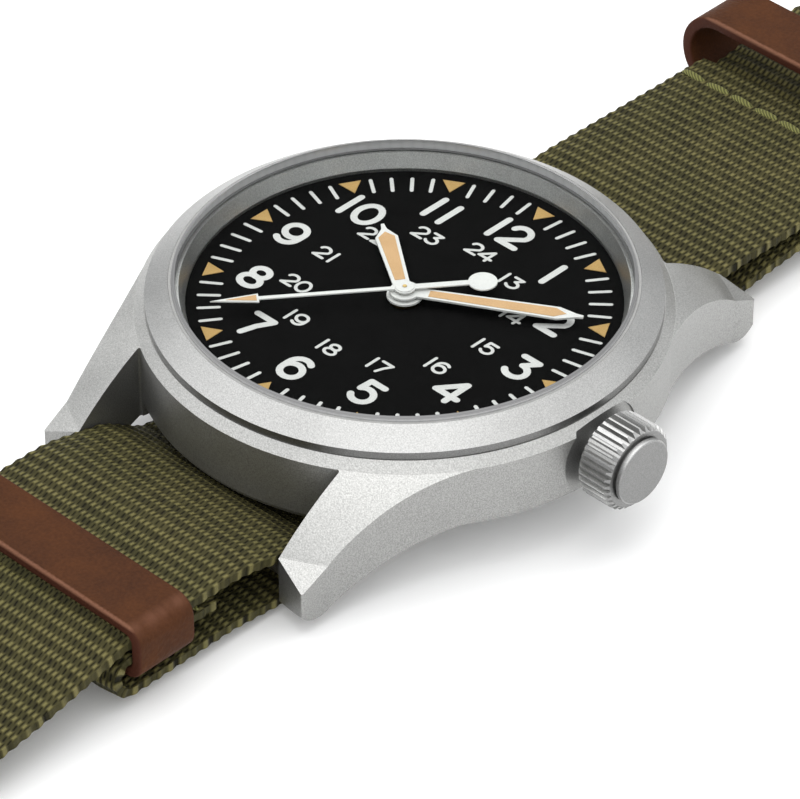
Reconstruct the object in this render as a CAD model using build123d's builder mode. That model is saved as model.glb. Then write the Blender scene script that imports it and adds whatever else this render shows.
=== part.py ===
from build123d import *
import math
import os

os.makedirs("parts", exist_ok=True)

# A hand-wound field watch on a two-layer webbing strap, lying on its strap, dial up.
# Millimetres. Origin: under the hands' axis, on the plane it rests on.
# +X towards the crown, +Y towards 12 o'clock, +Z up out of the dial.

# Driving sizes of the head
case_radius = 19.35
lug_gap = 20.0
back_wall = 0.75
back_space = 0.95
dial_thickness = 0.4
dial_radius = 15.9
dial_lip = 0.25
hand_space = 1.45
crystal_thickness = 0.95

# Driving heights of the movement, from the dial down
motion_space = 0.9
plate_thickness = 1.4
train_space = 1.1
bridge_thickness = 0.75
cock_thickness = 0.85

# Driving sizes of the strap
strap_thickness = 1.15
layer_gap = 0.1
side_play = 0.1

# Clearances
cut_over = 1.0
close_fit = 0.02
running = 0.05
air = 0.1

inner_half = lug_gap / 2
lip_radius = dial_radius - dial_lip
strap_width = lug_gap - 2 * side_play
back_bottom = 2 * (strap_thickness + layer_gap)
movement_height = motion_space + plate_thickness + train_space + bridge_thickness + cock_thickness
dial_bottom = back_bottom + back_wall + back_space + movement_height
dial_top = dial_bottom + dial_thickness
crystal_bottom = dial_top + hand_space
crystal_top = crystal_bottom + crystal_thickness

# Tooth shape, as shares of the module and of the tooth step
tip_share = 0.85
root_share = 1.05
root_width_share = 0.31
tip_width_share = 0.12


def polar(angle, length, centre=(0, 0)):
    """The point at an angle in degrees and a length from a centre."""
    turn = math.radians(angle)
    return (centre[0] + length * math.cos(turn), centre[1] + length * math.sin(turn))


def bearing(start, end):
    """The angle in degrees of the line from one point to another."""
    return math.degrees(math.atan2(end[1] - start[1], end[0] - start[0]))


def apex(first, first_length, second, second_length, side):
    """The point at two lengths from two points, on the left of the line between them for +1."""
    base = math.dist(first, second)
    along = (first_length**2 - second_length**2 + base**2) / (2 * base)
    aside = side * math.sqrt(first_length**2 - along**2)
    return polar(bearing(first, second) + math.degrees(math.atan2(aside, along)), first_length, first)


def level(height, spot=(0, 0), heading=0):
    """A level plane over a spot of the plan, its x turned to a heading."""
    turn = math.radians(heading)
    return Plane(
        origin=(spot[0], spot[1], height), x_dir=(math.cos(turn), math.sin(turn), 0), z_dir=(0, 0, 1)
    )


def upright(spot=(0, 0)):
    """A plane along X through a spot, its y up, for half sections of turned pieces."""
    return Plane(origin=(spot[0], spot[1], 0), x_dir=(1, 0, 0), z_dir=(0, -1, 0))


def over(spot):
    """The upright axis over a spot of the plan."""
    return Axis((spot[0], spot[1], 0), (0, 0, 1))


def section(plane, *corners):
    """A straight-sided outline."""
    with BuildSketch(plane) as outline:
        with BuildLine():
            Polyline(*corners, close=True)
        make_face()
    return outline.sketch


def toothed(plane, teeth, pitch_radius, phase=0.0, bore=0.0):
    """A toothed disc whose tips and roots follow the module."""
    module = 2 * pitch_radius / teeth
    tip = pitch_radius + tip_share * module
    root = pitch_radius - root_share * module
    step = 360 / teeth
    corners = []
    for tooth in range(teeth):
        middle = phase + tooth * step
        for radius, share in (
            (root, -root_width_share),
            (tip, -tip_width_share),
            (tip, tip_width_share),
            (root, root_width_share),
        ):
            corners.append(polar(middle + share * step, radius))
    with BuildSketch(plane) as disc:
        with BuildLine():
            Polyline(*corners, close=True)
        make_face()
        if bore:
            Circle(bore, mode=Mode.SUBTRACT)
    return disc.sketch


def meshed(phase, teeth, heading, other_teeth):
    """The phase of the gear that a gear of known phase drives along a heading."""
    step_part = ((heading - phase) / (360 / teeth)) % 1
    return heading + 180 + (step_part + 1 / 2) * 360 / other_teeth


def windows(plane, inner, outer, count, spoke_width):
    """The openings between the spokes of a wheel."""
    with BuildSketch(plane) as openings:
        Circle(outer)
        Circle(inner, mode=Mode.SUBTRACT)
        with PolarLocations(0, count):
            Rectangle(2 * outer, spoke_width, align=(Align.MIN, Align.CENTER), mode=Mode.SUBTRACT)
    return openings.sketch


def hulled(plane, *discs):
    """The outline stretched round discs, each a spot and a radius."""
    with BuildSketch(plane) as outline:
        for spot, radius in discs:
            with Locations(spot):
                Circle(radius)
        make_hull()
    return outline.sketch


def spiral(plane, inner_radius, pitch, half_turns, thickness):
    """A flat spiral strip of half turns about two centres."""
    outer, inner = [], []
    for turn in range(half_turns + 1):
        sign = 1 if turn % 2 == 0 else -1
        radius = inner_radius + turn * pitch / 2
        outer.append((sign * (radius + thickness), 0))
        inner.append((sign * radius, 0))
    with BuildSketch(plane) as strip:
        with BuildLine():
            for line in (outer, inner):
                for turn in range(half_turns):
                    start, end = line[turn], line[turn + 1]
                    side = 1 if turn % 2 == 0 else -1
                    ThreePointArc(start, ((start[0] + end[0]) / 2, side * abs(end[0] - start[0]) / 2), end)
            Line(outer[0], inner[0])
            Line(outer[-1], inner[-1])
        make_face()
    return strip.sketch


def route(points, radii):
    """A filleted route in the YZ plane."""
    with BuildLine(Plane.YZ) as line:
        FilletPolyline(*points, radius=radii)
    return line.line


def start_of(line):
    """The plane across the start of a route, its x along X."""
    return Plane(origin=line @ 0, x_dir=(1, 0, 0), z_dir=line % 0)


# Case middle: a turned ring with four lugs
case_cone_run = 0.73
case_rim_rise = 0.24
case_cone_fall = 0.42
case_wall_fall = 4.95
case_under_run = 1.75
case_base_fall = 5.85
case_under_shares = (0.7, 0.25)
back_seat_width = 0.75
back_seat_fall = 4.6
bar_space = 1.85
bar_to_tip = 2.2
lug_width = 2.95
lug_tip_slant = 0.7
lug_tip_round = 0.15
lug_root_angle = 31.3
lug_inner_round = 0.15
lug_floor = 1.0
lug_top_fall = 0.4
lug_top_drop = 5.6
lug_top_run = 7.65
lug_flare_shares = ((0.433, 0.37), (0.034, 0.805))
lug_top_shares = ((0.364, 0.339), (0.701, 0.75))
lug_under_shares = ((0.418, 0.677), (0.806, 0.077), (0.903, 0.0), (1.0, 0.205))
tube_radius = 1.3
crown_recess_radius = 3.6
crown_recess_depth = 0.45
bar_height = 2.9
bar_hole_radius = 0.45
bar_hole_depth = 1.3
case_rim_radius = case_radius - case_cone_run
case_rim_height = dial_top + case_rim_rise
case_cone_height = dial_top - case_cone_fall
case_wall_height = dial_top - case_wall_fall
case_base_radius = case_radius - case_under_run
case_base_height = dial_top - case_base_fall
case_bore = dial_radius + air
case_lip_height = dial_top + close_fit
back_seat_radius = case_bore + back_seat_width
back_seat_height = dial_top - back_seat_fall
bar_reach = case_radius + bar_space
lug_tip_reach = bar_reach + bar_to_tip
lug_tip_half = inner_half + lug_width
lug_top_start = dial_top - lug_top_fall

# Heights of the movement, from the dial down
ratchet_thickness = 0.45
wheel_thickness = 0.15
stem_drop = 0.1
plate_top = dial_bottom - motion_space
plate_bottom = plate_top - plate_thickness
bridge_top = plate_bottom - train_space
bridge_bottom = bridge_top - bridge_thickness
ratchet_top = bridge_bottom - air
ratchet_bottom = ratchet_top - ratchet_thickness
upper_level = plate_bottom - 2 * wheel_thickness
middle_level = upper_level - 2 * wheel_thickness
lower_level = bridge_top + air
stem_height = plate_bottom - stem_drop


def across(x):
    """A plane square to the stem, local x along +Y and local y up."""
    return Plane(origin=(x, 0, stem_height), x_dir=(0, 1, 0), z_dir=(1, 0, 0))


stem_section = Plane(origin=(0, 0, stem_height), x_dir=(1, 0, 0), z_dir=(0, -1, 0))
stem_axis = Axis((0, 0, stem_height), (1, 0, 0))

root_spot = polar(lug_root_angle, case_radius)
lug_flare = [
    (lug_tip_half + side * (root_spot[0] - lug_tip_half), root_spot[1] + out * (lug_tip_reach - root_spot[1]))
    for side, out in lug_flare_shares
]
lug_top = [
    (case_radius + run * lug_top_run, lug_top_start - drop * lug_top_drop) for run, drop in lug_top_shares
]
lug_under = [
    (inner_half + out * (lug_tip_reach - inner_half), lug_floor + rise * (case_wall_height - lug_floor))
    for out, rise in lug_under_shares
]
fillet_reach = math.sqrt((case_radius + lug_inner_round) ** 2 - (inner_half - lug_inner_round) ** 2)
fillet_centre = (inner_half - lug_inner_round, fillet_reach)
fillet_back = bearing(fillet_centre, (0, 0))
fillet_end = polar(fillet_back, lug_inner_round, fillet_centre)

with BuildPart() as case_middle:
    with BuildSketch():
        with BuildLine():
            ThreePointArc(root_spot, lug_flare[0], lug_flare[1])
            Line(lug_flare[1], (lug_tip_half, lug_tip_reach))
            Line((lug_tip_half, lug_tip_reach), (inner_half, lug_tip_reach - lug_tip_slant))
            Line((inner_half, lug_tip_reach - lug_tip_slant), (inner_half, fillet_reach))
            ThreePointArc(
                (inner_half, fillet_reach),
                polar(fillet_back / 2, lug_inner_round, fillet_centre),
                fillet_end,
            )
            Line(fillet_end, (0, 0))
            Line((0, 0), root_spot)
        lug = make_face()
        fillet(lug.vertices().group_by(Axis.Y)[-1], lug_tip_round)
        mirror(about=Plane.YZ)
        mirror(about=Plane.XZ)
    extrude(amount=case_rim_height)
    with BuildSketch(Plane.YZ):
        with BuildLine():
            Line((0, case_rim_height), (0, case_wall_height))
            Line((0, case_wall_height), (inner_half, case_wall_height))
            ThreePointArc((inner_half, case_wall_height), lug_under[0], lug_under[1])
            ThreePointArc(lug_under[1], lug_under[2], lug_under[3])
            Line(lug_under[3], (lug_tip_reach, case_rim_height))
            Line((lug_tip_reach, case_rim_height), (0, case_rim_height))
        make_face()
        mirror(about=Plane.YZ)
    extrude(amount=case_radius, both=True, mode=Mode.INTERSECT)
    with BuildSketch(upright()):
        with BuildLine():
            Line((0, 0), (0, lug_top_start))
            Line((0, lug_top_start), (case_radius, lug_top_start))
            ThreePointArc((case_radius, lug_top_start), lug_top[0], lug_top[1])
            Line(lug_top[1], (case_radius + lug_top_run, lug_top_start - lug_top_drop))
            Line((case_radius + lug_top_run, lug_top_start - lug_top_drop), (case_radius + lug_top_run, 0))
            Line((case_radius + lug_top_run, 0), (0, 0))
        make_face()
    revolve(axis=Axis.Z, mode=Mode.INTERSECT)
    with BuildSketch():
        Circle(case_base_radius)
    extrude(amount=case_rim_height, mode=Mode.SUBTRACT)
    with BuildSketch(upright()):
        with BuildLine():
            under = (
                case_base_radius + case_under_shares[0] * (case_radius - case_base_radius),
                case_base_height + case_under_shares[1] * (case_wall_height - case_base_height),
            )
            ThreePointArc((case_base_radius, case_base_height), under, (case_radius, case_wall_height))
            Polyline(
                (case_radius, case_wall_height),
                (case_radius, case_cone_height),
                (case_rim_radius, case_rim_height),
                (lip_radius, case_rim_height),
                (lip_radius, case_lip_height),
                (case_bore, case_lip_height),
                (case_bore, back_seat_height),
                (back_seat_radius, back_seat_height),
                (back_seat_radius, case_base_height),
                (case_base_radius, case_base_height),
            )
        make_face()
    revolve(axis=Axis.Z)
    with BuildSketch(across(case_bore - cut_over)):
        Circle(tube_radius + close_fit)
    extrude(amount=case_radius, mode=Mode.SUBTRACT)
    with BuildSketch(across(case_radius - crown_recess_depth)):
        Circle(crown_recess_radius)
    extrude(amount=case_radius, mode=Mode.SUBTRACT)
    with BuildSketch(Plane.YZ.offset(-inner_half - bar_hole_depth)):
        with Locations((bar_reach, bar_height), (-bar_reach, bar_height)):
            Circle(bar_hole_radius)
    extrude(amount=lug_gap + 2 * bar_hole_depth, mode=Mode.SUBTRACT)
case_middle.part.label = "case_middle"
export_step(case_middle.part, "parts/case_middle.step")

# Case back: a stepped cover with slots for an opener
back_edge_run = 1.9
back_edge_rise = 0.9
back_bulge_shares = (0.62, 0.28)
back_gasket_height = 0.15
opener_slot_count = 6
opener_slot_inset = 1.7
opener_slot_length = 2.4
opener_slot_width = 1.2
opener_slot_depth = 0.35
back_edge_radius = case_base_radius - air
back_flat_radius = back_edge_radius - back_edge_run
back_rim_radius = back_seat_radius - running
back_rim_top = back_seat_height - back_gasket_height
back_flange_top = case_base_height - running
opener_slot_reach = back_flat_radius - opener_slot_inset
back_edge_height = back_bottom + back_edge_rise
with BuildPart() as case_back:
    with BuildSketch(upright()):
        with BuildLine():
            bulge = (
                back_flat_radius + back_bulge_shares[0] * (back_edge_radius - back_flat_radius),
                back_bottom + back_bulge_shares[1] * back_edge_rise,
            )
            ThreePointArc((back_flat_radius, back_bottom), bulge, (back_edge_radius, back_edge_height))
            Polyline(
                (back_edge_radius, back_edge_height),
                (back_edge_radius, back_flange_top),
                (back_rim_radius, back_flange_top),
                (back_rim_radius, back_rim_top),
                (case_bore, back_rim_top),
                (case_bore, back_bottom + back_wall),
                (0, back_bottom + back_wall),
                (0, back_bottom),
                (back_flat_radius, back_bottom),
            )
        make_face()
    revolve(axis=Axis.Z)
    with BuildSketch(Plane.XY.offset(back_bottom)):
        with PolarLocations(opener_slot_reach, opener_slot_count):
            Rectangle(opener_slot_width, opener_slot_length)
    extrude(amount=opener_slot_depth, mode=Mode.SUBTRACT)
case_back.part.label = "case_back"
export_step(case_back.part, "parts/case_back.step")

# Bezel: the sloping ring that holds the crystal
bezel_gap = 0.04
bezel_inset = 0.07
bezel_slope_run = 1.7
bezel_slope_drop = 1.2
crystal_proud = 0.35
crystal_ledge_width = 0.75
bezel_radius = case_rim_radius - bezel_inset
bezel_top = crystal_top - crystal_proud
bezel_wall_height = bezel_top - bezel_slope_drop
bezel_top_radius = bezel_radius - bezel_slope_run
crystal_ledge_radius = bezel_top_radius - crystal_ledge_width
bezel_bottom = case_rim_height + bezel_gap
crystal_ledge = crystal_bottom - running
with BuildPart() as bezel:
    revolve(
        section(
            upright(),
            (lip_radius, bezel_bottom),
            (bezel_radius, bezel_bottom),
            (bezel_radius, bezel_wall_height),
            (bezel_top_radius, bezel_top),
            (bezel_top_radius, crystal_ledge),
            (crystal_ledge_radius, crystal_ledge),
        ),
        axis=Axis.Z,
    )
bezel.part.label = "bezel"
export_step(bezel.part, "parts/bezel.step")

# Crystal: a flat disc with a bevelled top edge
gasket_thickness = 0.21
crystal_bevel_height = 0.2
crystal_bevel_run = 0.35
crystal_radius = bezel_top_radius - gasket_thickness - 2 * close_fit
with BuildPart() as crystal:
    revolve(
        section(
            upright(),
            (0, crystal_bottom),
            (crystal_radius, crystal_bottom),
            (crystal_radius, crystal_top - crystal_bevel_height),
            (crystal_radius - crystal_bevel_run, crystal_top),
            (0, crystal_top),
        ),
        axis=Axis.Z,
    )
crystal.part.label = "crystal"
export_step(crystal.part, "parts/crystal.step")

# Gaskets of the crystal and of the case back
with BuildPart() as case_gaskets:
    with BuildSketch(Plane.XY.offset(crystal_ledge + close_fit)):
        Circle(crystal_radius + close_fit + gasket_thickness)
        Circle(crystal_radius + close_fit, mode=Mode.SUBTRACT)
    extrude(amount=bezel_top - crystal_ledge - close_fit)
    with BuildSketch(Plane.XY.offset(back_rim_top + close_fit)):
        Circle(back_rim_radius)
        Circle(case_bore + running, mode=Mode.SUBTRACT)
    extrude(amount=back_seat_height - back_rim_top - 2 * close_fit)
case_gaskets.part.label = "case_gaskets"
export_step(case_gaskets.part, "parts/case_gaskets.step")

# Crown, its tube and its gasket
crown_gap = 0.35
knurl_length = 2.9
neck_length = 0.15
cap_length = 0.4
knurl_count = 34
knurl_radius = 3.12
knurl_end_radius = 2.95
knurl_crest_radius = 3.28
knurl_bevel = 0.3
neck_radius = 2.3
crown_cap_radius = 2.5
crown_cap_round = 0.15
crown_bore_radius = 2.0
crown_wall = 0.85
crown_travel = 0.8
tube_bore = 0.7
tube_inset = 0.45
crown_gasket_inset = 0.9
crown_gasket_width = 0.6
stem_radius = 0.6
crown_start = case_radius + crown_gap
knurl_end = crown_start + knurl_length
neck_end = knurl_end + neck_length
crown_end = neck_end + cap_length
crown_bore_end = crown_end - crown_wall
tube_start = dial_radius + running
tube_end = crown_bore_end - tube_inset
crown_gasket_start = tube_end - crown_gasket_inset
stem_end = crown_bore_end + crown_wall / 2
with BuildPart() as crown:
    extrude(toothed(across(crown_start), knurl_count, knurl_radius), amount=knurl_end - crown_start)
    revolve(
        section(
            stem_section,
            (crown_start, 0),
            (crown_start, knurl_end_radius),
            (crown_start + knurl_bevel, knurl_crest_radius),
            (knurl_end - knurl_bevel, knurl_crest_radius),
            (knurl_end, knurl_end_radius),
            (knurl_end, 0),
        ),
        axis=stem_axis,
        mode=Mode.INTERSECT,
    )
    with BuildSketch(across(knurl_end)):
        Circle(neck_radius)
    extrude(amount=neck_end - knurl_end)
    with BuildSketch(across(neck_end)):
        Circle(crown_cap_radius)
    extrude(amount=crown_end - neck_end)
    fillet(crown.edges().filter_by(GeomType.CIRCLE).group_by(Axis.X)[-1], crown_cap_round)
    with BuildSketch(across(crown_start)):
        Circle(crown_bore_radius)
    extrude(amount=crown_bore_end - crown_start, mode=Mode.SUBTRACT)
    with BuildSketch(across(crown_bore_end)):
        Circle(stem_radius + close_fit)
    extrude(amount=stem_end - crown_bore_end + close_fit, mode=Mode.SUBTRACT)
crown.part.label = "crown"
export_step(crown.part, "parts/crown.step")

with BuildPart() as crown_tube:
    with BuildSketch(across(tube_start)):
        Circle(tube_radius)
        Circle(tube_bore, mode=Mode.SUBTRACT)
    extrude(amount=tube_end - tube_start)
crown_tube.part.label = "crown_tube"
export_step(crown_tube.part, "parts/crown_tube.step")

with BuildPart() as crown_gasket:
    with BuildSketch(across(crown_gasket_start)):
        Circle(crown_bore_radius - close_fit)
        Circle(tube_radius + close_fit, mode=Mode.SUBTRACT)
    extrude(amount=crown_gasket_width)
crown_gasket.part.label = "crown_gasket"
export_step(crown_gasket.part, "parts/crown_gasket.step")

# Plan of the movement: tooth counts and distances set the centres
plate_radius = 12.8
seconds_teeth, escape_pinion_teeth = 72, 8
third_teeth, seconds_pinion_teeth = 75, 10
great_teeth, third_pinion_teeth = 64, 8
barrel_teeth, great_pinion_teeth = 72, 12
crown_wheel_teeth, ratchet_teeth = 30, 41
winding_teeth, contrate_teeth = 14, 25
cannon_teeth, minute_teeth = 12, 36
minute_pinion_teeth, hour_teeth = 10, 40
setting_teeth = 14
seconds_to_escape = 4.05
seconds_to_third = 4.1
third_to_great = 4.75
great_to_barrel = 5.8
great_reach = 5.893
barrel_reach = 7.4
crown_wheel_reach = 7.6
crown_to_ratchet = 6.95
balance_reach = 8.17
balance_heading = 230.5
escape_tip_radius = 2.2
escape_to_pallet = 2.54
pallet_to_balance = 3.5
motion_distance = 3.84
setting_distance = 4.0
setting_reach = 5.95

centre = (0, 0)
crown_wheel_centre = (crown_wheel_reach, 0)
barrel_centre = apex(centre, barrel_reach, crown_wheel_centre, crown_to_ratchet, 1)
great_centre = apex(barrel_centre, great_to_barrel, centre, great_reach, -1)
third_centre = apex(centre, seconds_to_third, great_centre, third_to_great, 1)
balance_centre = polar(balance_heading, balance_reach)
escape_centre = apex(balance_centre, escape_to_pallet + pallet_to_balance, centre, seconds_to_escape, -1)
lever_heading = bearing(escape_centre, balance_centre)
pallet_centre = polar(lever_heading, escape_to_pallet, escape_centre)
setting_centre = (setting_reach, 0)
minute_centre = apex(centre, motion_distance, setting_centre, setting_distance, -1)


def shared_pitch(distance, teeth, other_teeth):
    """The pitch radii of two meshed gears."""
    first = distance * teeth / (teeth + other_teeth)
    return first, distance - first


seconds_pitch, escape_pinion_pitch = shared_pitch(seconds_to_escape, seconds_teeth, escape_pinion_teeth)
third_pitch, seconds_pinion_pitch = shared_pitch(seconds_to_third, third_teeth, seconds_pinion_teeth)
great_pitch, third_pinion_pitch = shared_pitch(third_to_great, great_teeth, third_pinion_teeth)
barrel_pitch, great_pinion_pitch = shared_pitch(great_to_barrel, barrel_teeth, great_pinion_teeth)
crown_wheel_pitch, ratchet_pitch = shared_pitch(crown_to_ratchet, crown_wheel_teeth, ratchet_teeth)
cannon_pitch, minute_pitch = shared_pitch(motion_distance, cannon_teeth, minute_teeth)
minute_pinion_pitch, hour_pitch = shared_pitch(motion_distance, minute_pinion_teeth, hour_teeth)
setting_pitch = setting_distance - minute_pitch

# Phases that put a tooth of each gear in a gap of its neighbour
seconds_phase = 0.0
escape_pinion_phase = meshed(
    seconds_phase, seconds_teeth, bearing(centre, escape_centre), escape_pinion_teeth
)
third_phase = meshed(seconds_phase, seconds_pinion_teeth, bearing(centre, third_centre), third_teeth)
great_phase = meshed(third_phase, third_pinion_teeth, bearing(third_centre, great_centre), great_teeth)
barrel_phase = meshed(
    great_phase, great_pinion_teeth, bearing(great_centre, barrel_centre), barrel_teeth
)
crown_wheel_phase = 0.0
ratchet_phase = meshed(
    crown_wheel_phase, crown_wheel_teeth, bearing(crown_wheel_centre, barrel_centre), ratchet_teeth
)
cannon_phase = 0.0
minute_phase = meshed(cannon_phase, cannon_teeth, bearing(centre, minute_centre), minute_teeth)
hour_phase = meshed(minute_phase, minute_pinion_teeth, bearing(minute_centre, centre), hour_teeth)
setting_phase = meshed(minute_phase, minute_teeth, bearing(minute_centre, setting_centre), setting_teeth)

# Pivots, jewels and the stacked tubes at the centre
pivot_radius = 0.15
staff_radius = 0.3
jewel_radius = 0.48
jewel_thickness = 0.3
arbor_radius = 0.3
centre_tube_bore = 0.35
centre_tube_radius = 0.55
cannon_bore = 0.6
cannon_radius = 0.75
hour_bore = 0.8
hour_radius = 1.05
hand_thickness = 0.15
hand_step = 0.35
hour_hand_bottom = dial_top + hand_step
minute_hand_bottom = hour_hand_bottom + hand_step
second_hand_bottom = minute_hand_bottom + hand_step

# Main plate and its keyless pocket
movement_hole = jewel_radius + close_fit
barrel_radius = 4.65
barrel_bottom = middle_level + wheel_thickness + air
barrel_thickness = 1.35
barrel_air = 0.5
barrel_roof = 0.3
barrel_pivot = 0.55
slot_half = 1.75
slot_start = 6.8
pilot_start = 5.9
pilot_radius = 0.38
slot_rim = 0.7
slot_end = plate_radius - slot_rim
yoke_along = 8.45
yoke_aside = 4.3
lever_along = 11.3
lever_aside = 3.4
spring_along = 10.0
spring_aside = 5.7
yoke_centre = (yoke_along, yoke_aside)
lever_centre = (lever_along, lever_aside)
spring_post = (spring_along, spring_aside)
pin_radius = 0.35
pin_depth = 0.25
post_hole = 0.35
dial_foot_reach = 11.8
dial_foot_heading = 110.0
dial_foot_radius = 0.35
dial_foot_length = 1.6
setting_recess = 0.2
barrel_foot_shares = ((0.828, 0.344), (0.664, -0.508), (0.328, -0.797))
train_foot_shares = ((-0.25, 0.852), (-0.773, 0.359), (0.07, -0.672))
cock_foot_shares = (-0.766, -0.047)
pallet_foot_shares = (-0.152, -0.602)
barrel_feet = [(plate_radius * along, plate_radius * aside) for along, aside in barrel_foot_shares]
train_feet = [(plate_radius * along, plate_radius * aside) for along, aside in train_foot_shares]
cock_foot = (plate_radius * cock_foot_shares[0], plate_radius * cock_foot_shares[1])
pallet_foot = (plate_radius * pallet_foot_shares[0], plate_radius * pallet_foot_shares[1])
dial_feet = [polar(dial_foot_heading, dial_foot_reach), polar(dial_foot_heading + 180, dial_foot_reach)]
screw_spots = [*barrel_feet, *train_feet, cock_foot, pallet_foot]
jewelled = [third_centre, escape_centre, pallet_centre, balance_centre]
recess_top = plate_top - barrel_roof
with BuildPart() as main_plate:
    with BuildSketch(Plane.XY.offset(plate_bottom)):
        Circle(plate_radius)
        Circle(centre_tube_radius, mode=Mode.SUBTRACT)
        with Locations(*jewelled):
            Circle(movement_hole, mode=Mode.SUBTRACT)
        with Locations(*screw_spots, spring_post):
            Circle(post_hole, mode=Mode.SUBTRACT)
        with Locations(barrel_centre):
            Circle(barrel_pivot, mode=Mode.SUBTRACT)
        with Locations(great_centre):
            Circle(pivot_radius + close_fit, mode=Mode.SUBTRACT)
        with Locations(*dial_feet):
            Circle(dial_foot_radius + running, mode=Mode.SUBTRACT)
        with Locations(((slot_start + slot_end) / 2, 0)):
            Rectangle(slot_end - slot_start, 2 * slot_half, mode=Mode.SUBTRACT)
    extrude(amount=plate_thickness)
    with BuildSketch(Plane.XY.offset(plate_bottom)):
        Circle(centre_tube_radius)
        Circle(centre_tube_bore, mode=Mode.SUBTRACT)
    extrude(amount=minute_hand_bottom - plate_bottom)
    with BuildSketch(Plane.XY.offset(plate_bottom)):
        with Locations(barrel_centre):
            Circle(barrel_radius + barrel_air)
    extrude(amount=recess_top - plate_bottom, mode=Mode.SUBTRACT)
    with BuildSketch(Plane.XY.offset(plate_top - setting_recess)):
        with Locations(setting_centre):
            Circle(setting_pitch * (1 + 2 * tip_share / setting_teeth) + air)
    extrude(amount=setting_recess, mode=Mode.SUBTRACT)
    with BuildSketch(Plane.XY.offset(plate_top - pin_depth)):
        with Locations(yoke_centre, lever_centre, minute_centre):
            Circle(pin_radius + running)
    extrude(amount=pin_depth, mode=Mode.SUBTRACT)
    with BuildSketch(across(pilot_start - running)):
        Circle(pilot_radius + running)
    extrude(amount=slot_start - pilot_start + cut_over, mode=Mode.SUBTRACT)
    with BuildSketch(across(slot_end - running)):
        Circle(stem_radius + running)
    extrude(amount=plate_radius, mode=Mode.SUBTRACT)
main_plate.part.label = "main_plate"
export_step(main_plate.part, "parts/main_plate.step")

# Bridges on the back of the plate, each with feet that stand on it
foot_radius = 0.9
bridge_step = 0.2
bridge_radius = plate_radius - bridge_step
upper_seam = 1.2
lower_seam = 3.2
upper_seam_end = 2.5
lower_seam_start = -1.2
seam_gap = 0.15
balance_clear = 4.7
cock_foot_radius = 1.6
arbor_hole = 0.75
core_radius = 1.2
contrate_inner = 2.2
contrate_outer = 2.85
contrate_depth = 0.5
web_depth = 0.25
sliding_radius = 1.45
sliding_start = 7.95
click_heading = 100.0
click_reach = 5.3
click_centre = polar(click_heading, click_reach, barrel_centre)
click_spring_along = 7.9
click_spring_aside = 9.0
click_spring_post = (click_spring_along, click_spring_aside)
click_spring_boss = 0.45
screw_radius = 0.3
screw_head_radius = 0.65
screw_head_height = 0.3
winding_start = 9.75
winding_end = 10.5
winding_pitch = 1.4
winding_tip = winding_pitch * (1 + 2 * tip_share / winding_teeth)


def bridge_side(side):
    """The half plane on one side of the seam between the bridges, +1 for the crown side."""
    shift = side * seam_gap / 2
    far = side * 2 * bridge_radius
    return section(
        Plane.XY,
        (upper_seam + shift, bridge_radius),
        (upper_seam + shift, upper_seam_end),
        (lower_seam + shift, lower_seam_start),
        (lower_seam + shift, -bridge_radius),
        (far, -bridge_radius),
        (far, bridge_radius),
    )


def feet(spots, radius):
    """Discs at the spots of a bridge, for its feet and its holes."""
    with BuildSketch(Plane.XY.offset(bridge_bottom)) as pads:
        with Locations(*spots):
            Circle(radius)
    return pads.sketch


with BuildPart() as barrel_bridge:
    with BuildSketch(Plane.XY.offset(bridge_bottom)):
        Circle(bridge_radius)
        add(bridge_side(1), mode=Mode.INTERSECT)
    extrude(amount=bridge_thickness)
    extrude(feet(barrel_feet, foot_radius), amount=plate_bottom - bridge_bottom)
    extrude(feet(barrel_feet, post_hole), amount=plate_bottom - bridge_bottom, mode=Mode.SUBTRACT)
    extrude(feet([barrel_centre], arbor_hole), amount=bridge_thickness, mode=Mode.SUBTRACT)
    with BuildSketch(Plane.XY.offset(bridge_bottom)):
        with Locations(crown_wheel_centre):
            Circle(contrate_outer + air)
            Circle(contrate_inner - air, mode=Mode.SUBTRACT)
    extrude(amount=contrate_depth, mode=Mode.SUBTRACT)
    with BuildSketch(Plane.XY.offset(bridge_bottom + web_depth)):
        with Locations(((sliding_start - crown_travel - air + winding_start) / 2, 0)):
            Rectangle(winding_start - sliding_start + crown_travel + air, 2 * (sliding_radius + air))
    extrude(amount=bridge_thickness, mode=Mode.SUBTRACT)
    with BuildSketch(Plane.XY.offset(bridge_bottom)):
        with Locations(((winding_start + winding_end) / 2, 0)):
            Rectangle(winding_end - winding_start + 2 * air, 2 * (winding_tip + air))
    extrude(amount=bridge_thickness, mode=Mode.SUBTRACT)
    with BuildSketch(across(pilot_start - air)):
        Circle(stem_radius + running)
    extrude(amount=bridge_radius, mode=Mode.SUBTRACT)
    extrude(feet([click_centre], pivot_radius + close_fit), amount=web_depth, mode=Mode.SUBTRACT)
    extrude(feet([click_spring_post], screw_radius + close_fit), amount=web_depth, mode=Mode.SUBTRACT)
barrel_bridge.part.label = "barrel_bridge"
export_step(barrel_bridge.part, "parts/barrel_bridge.step")

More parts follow.
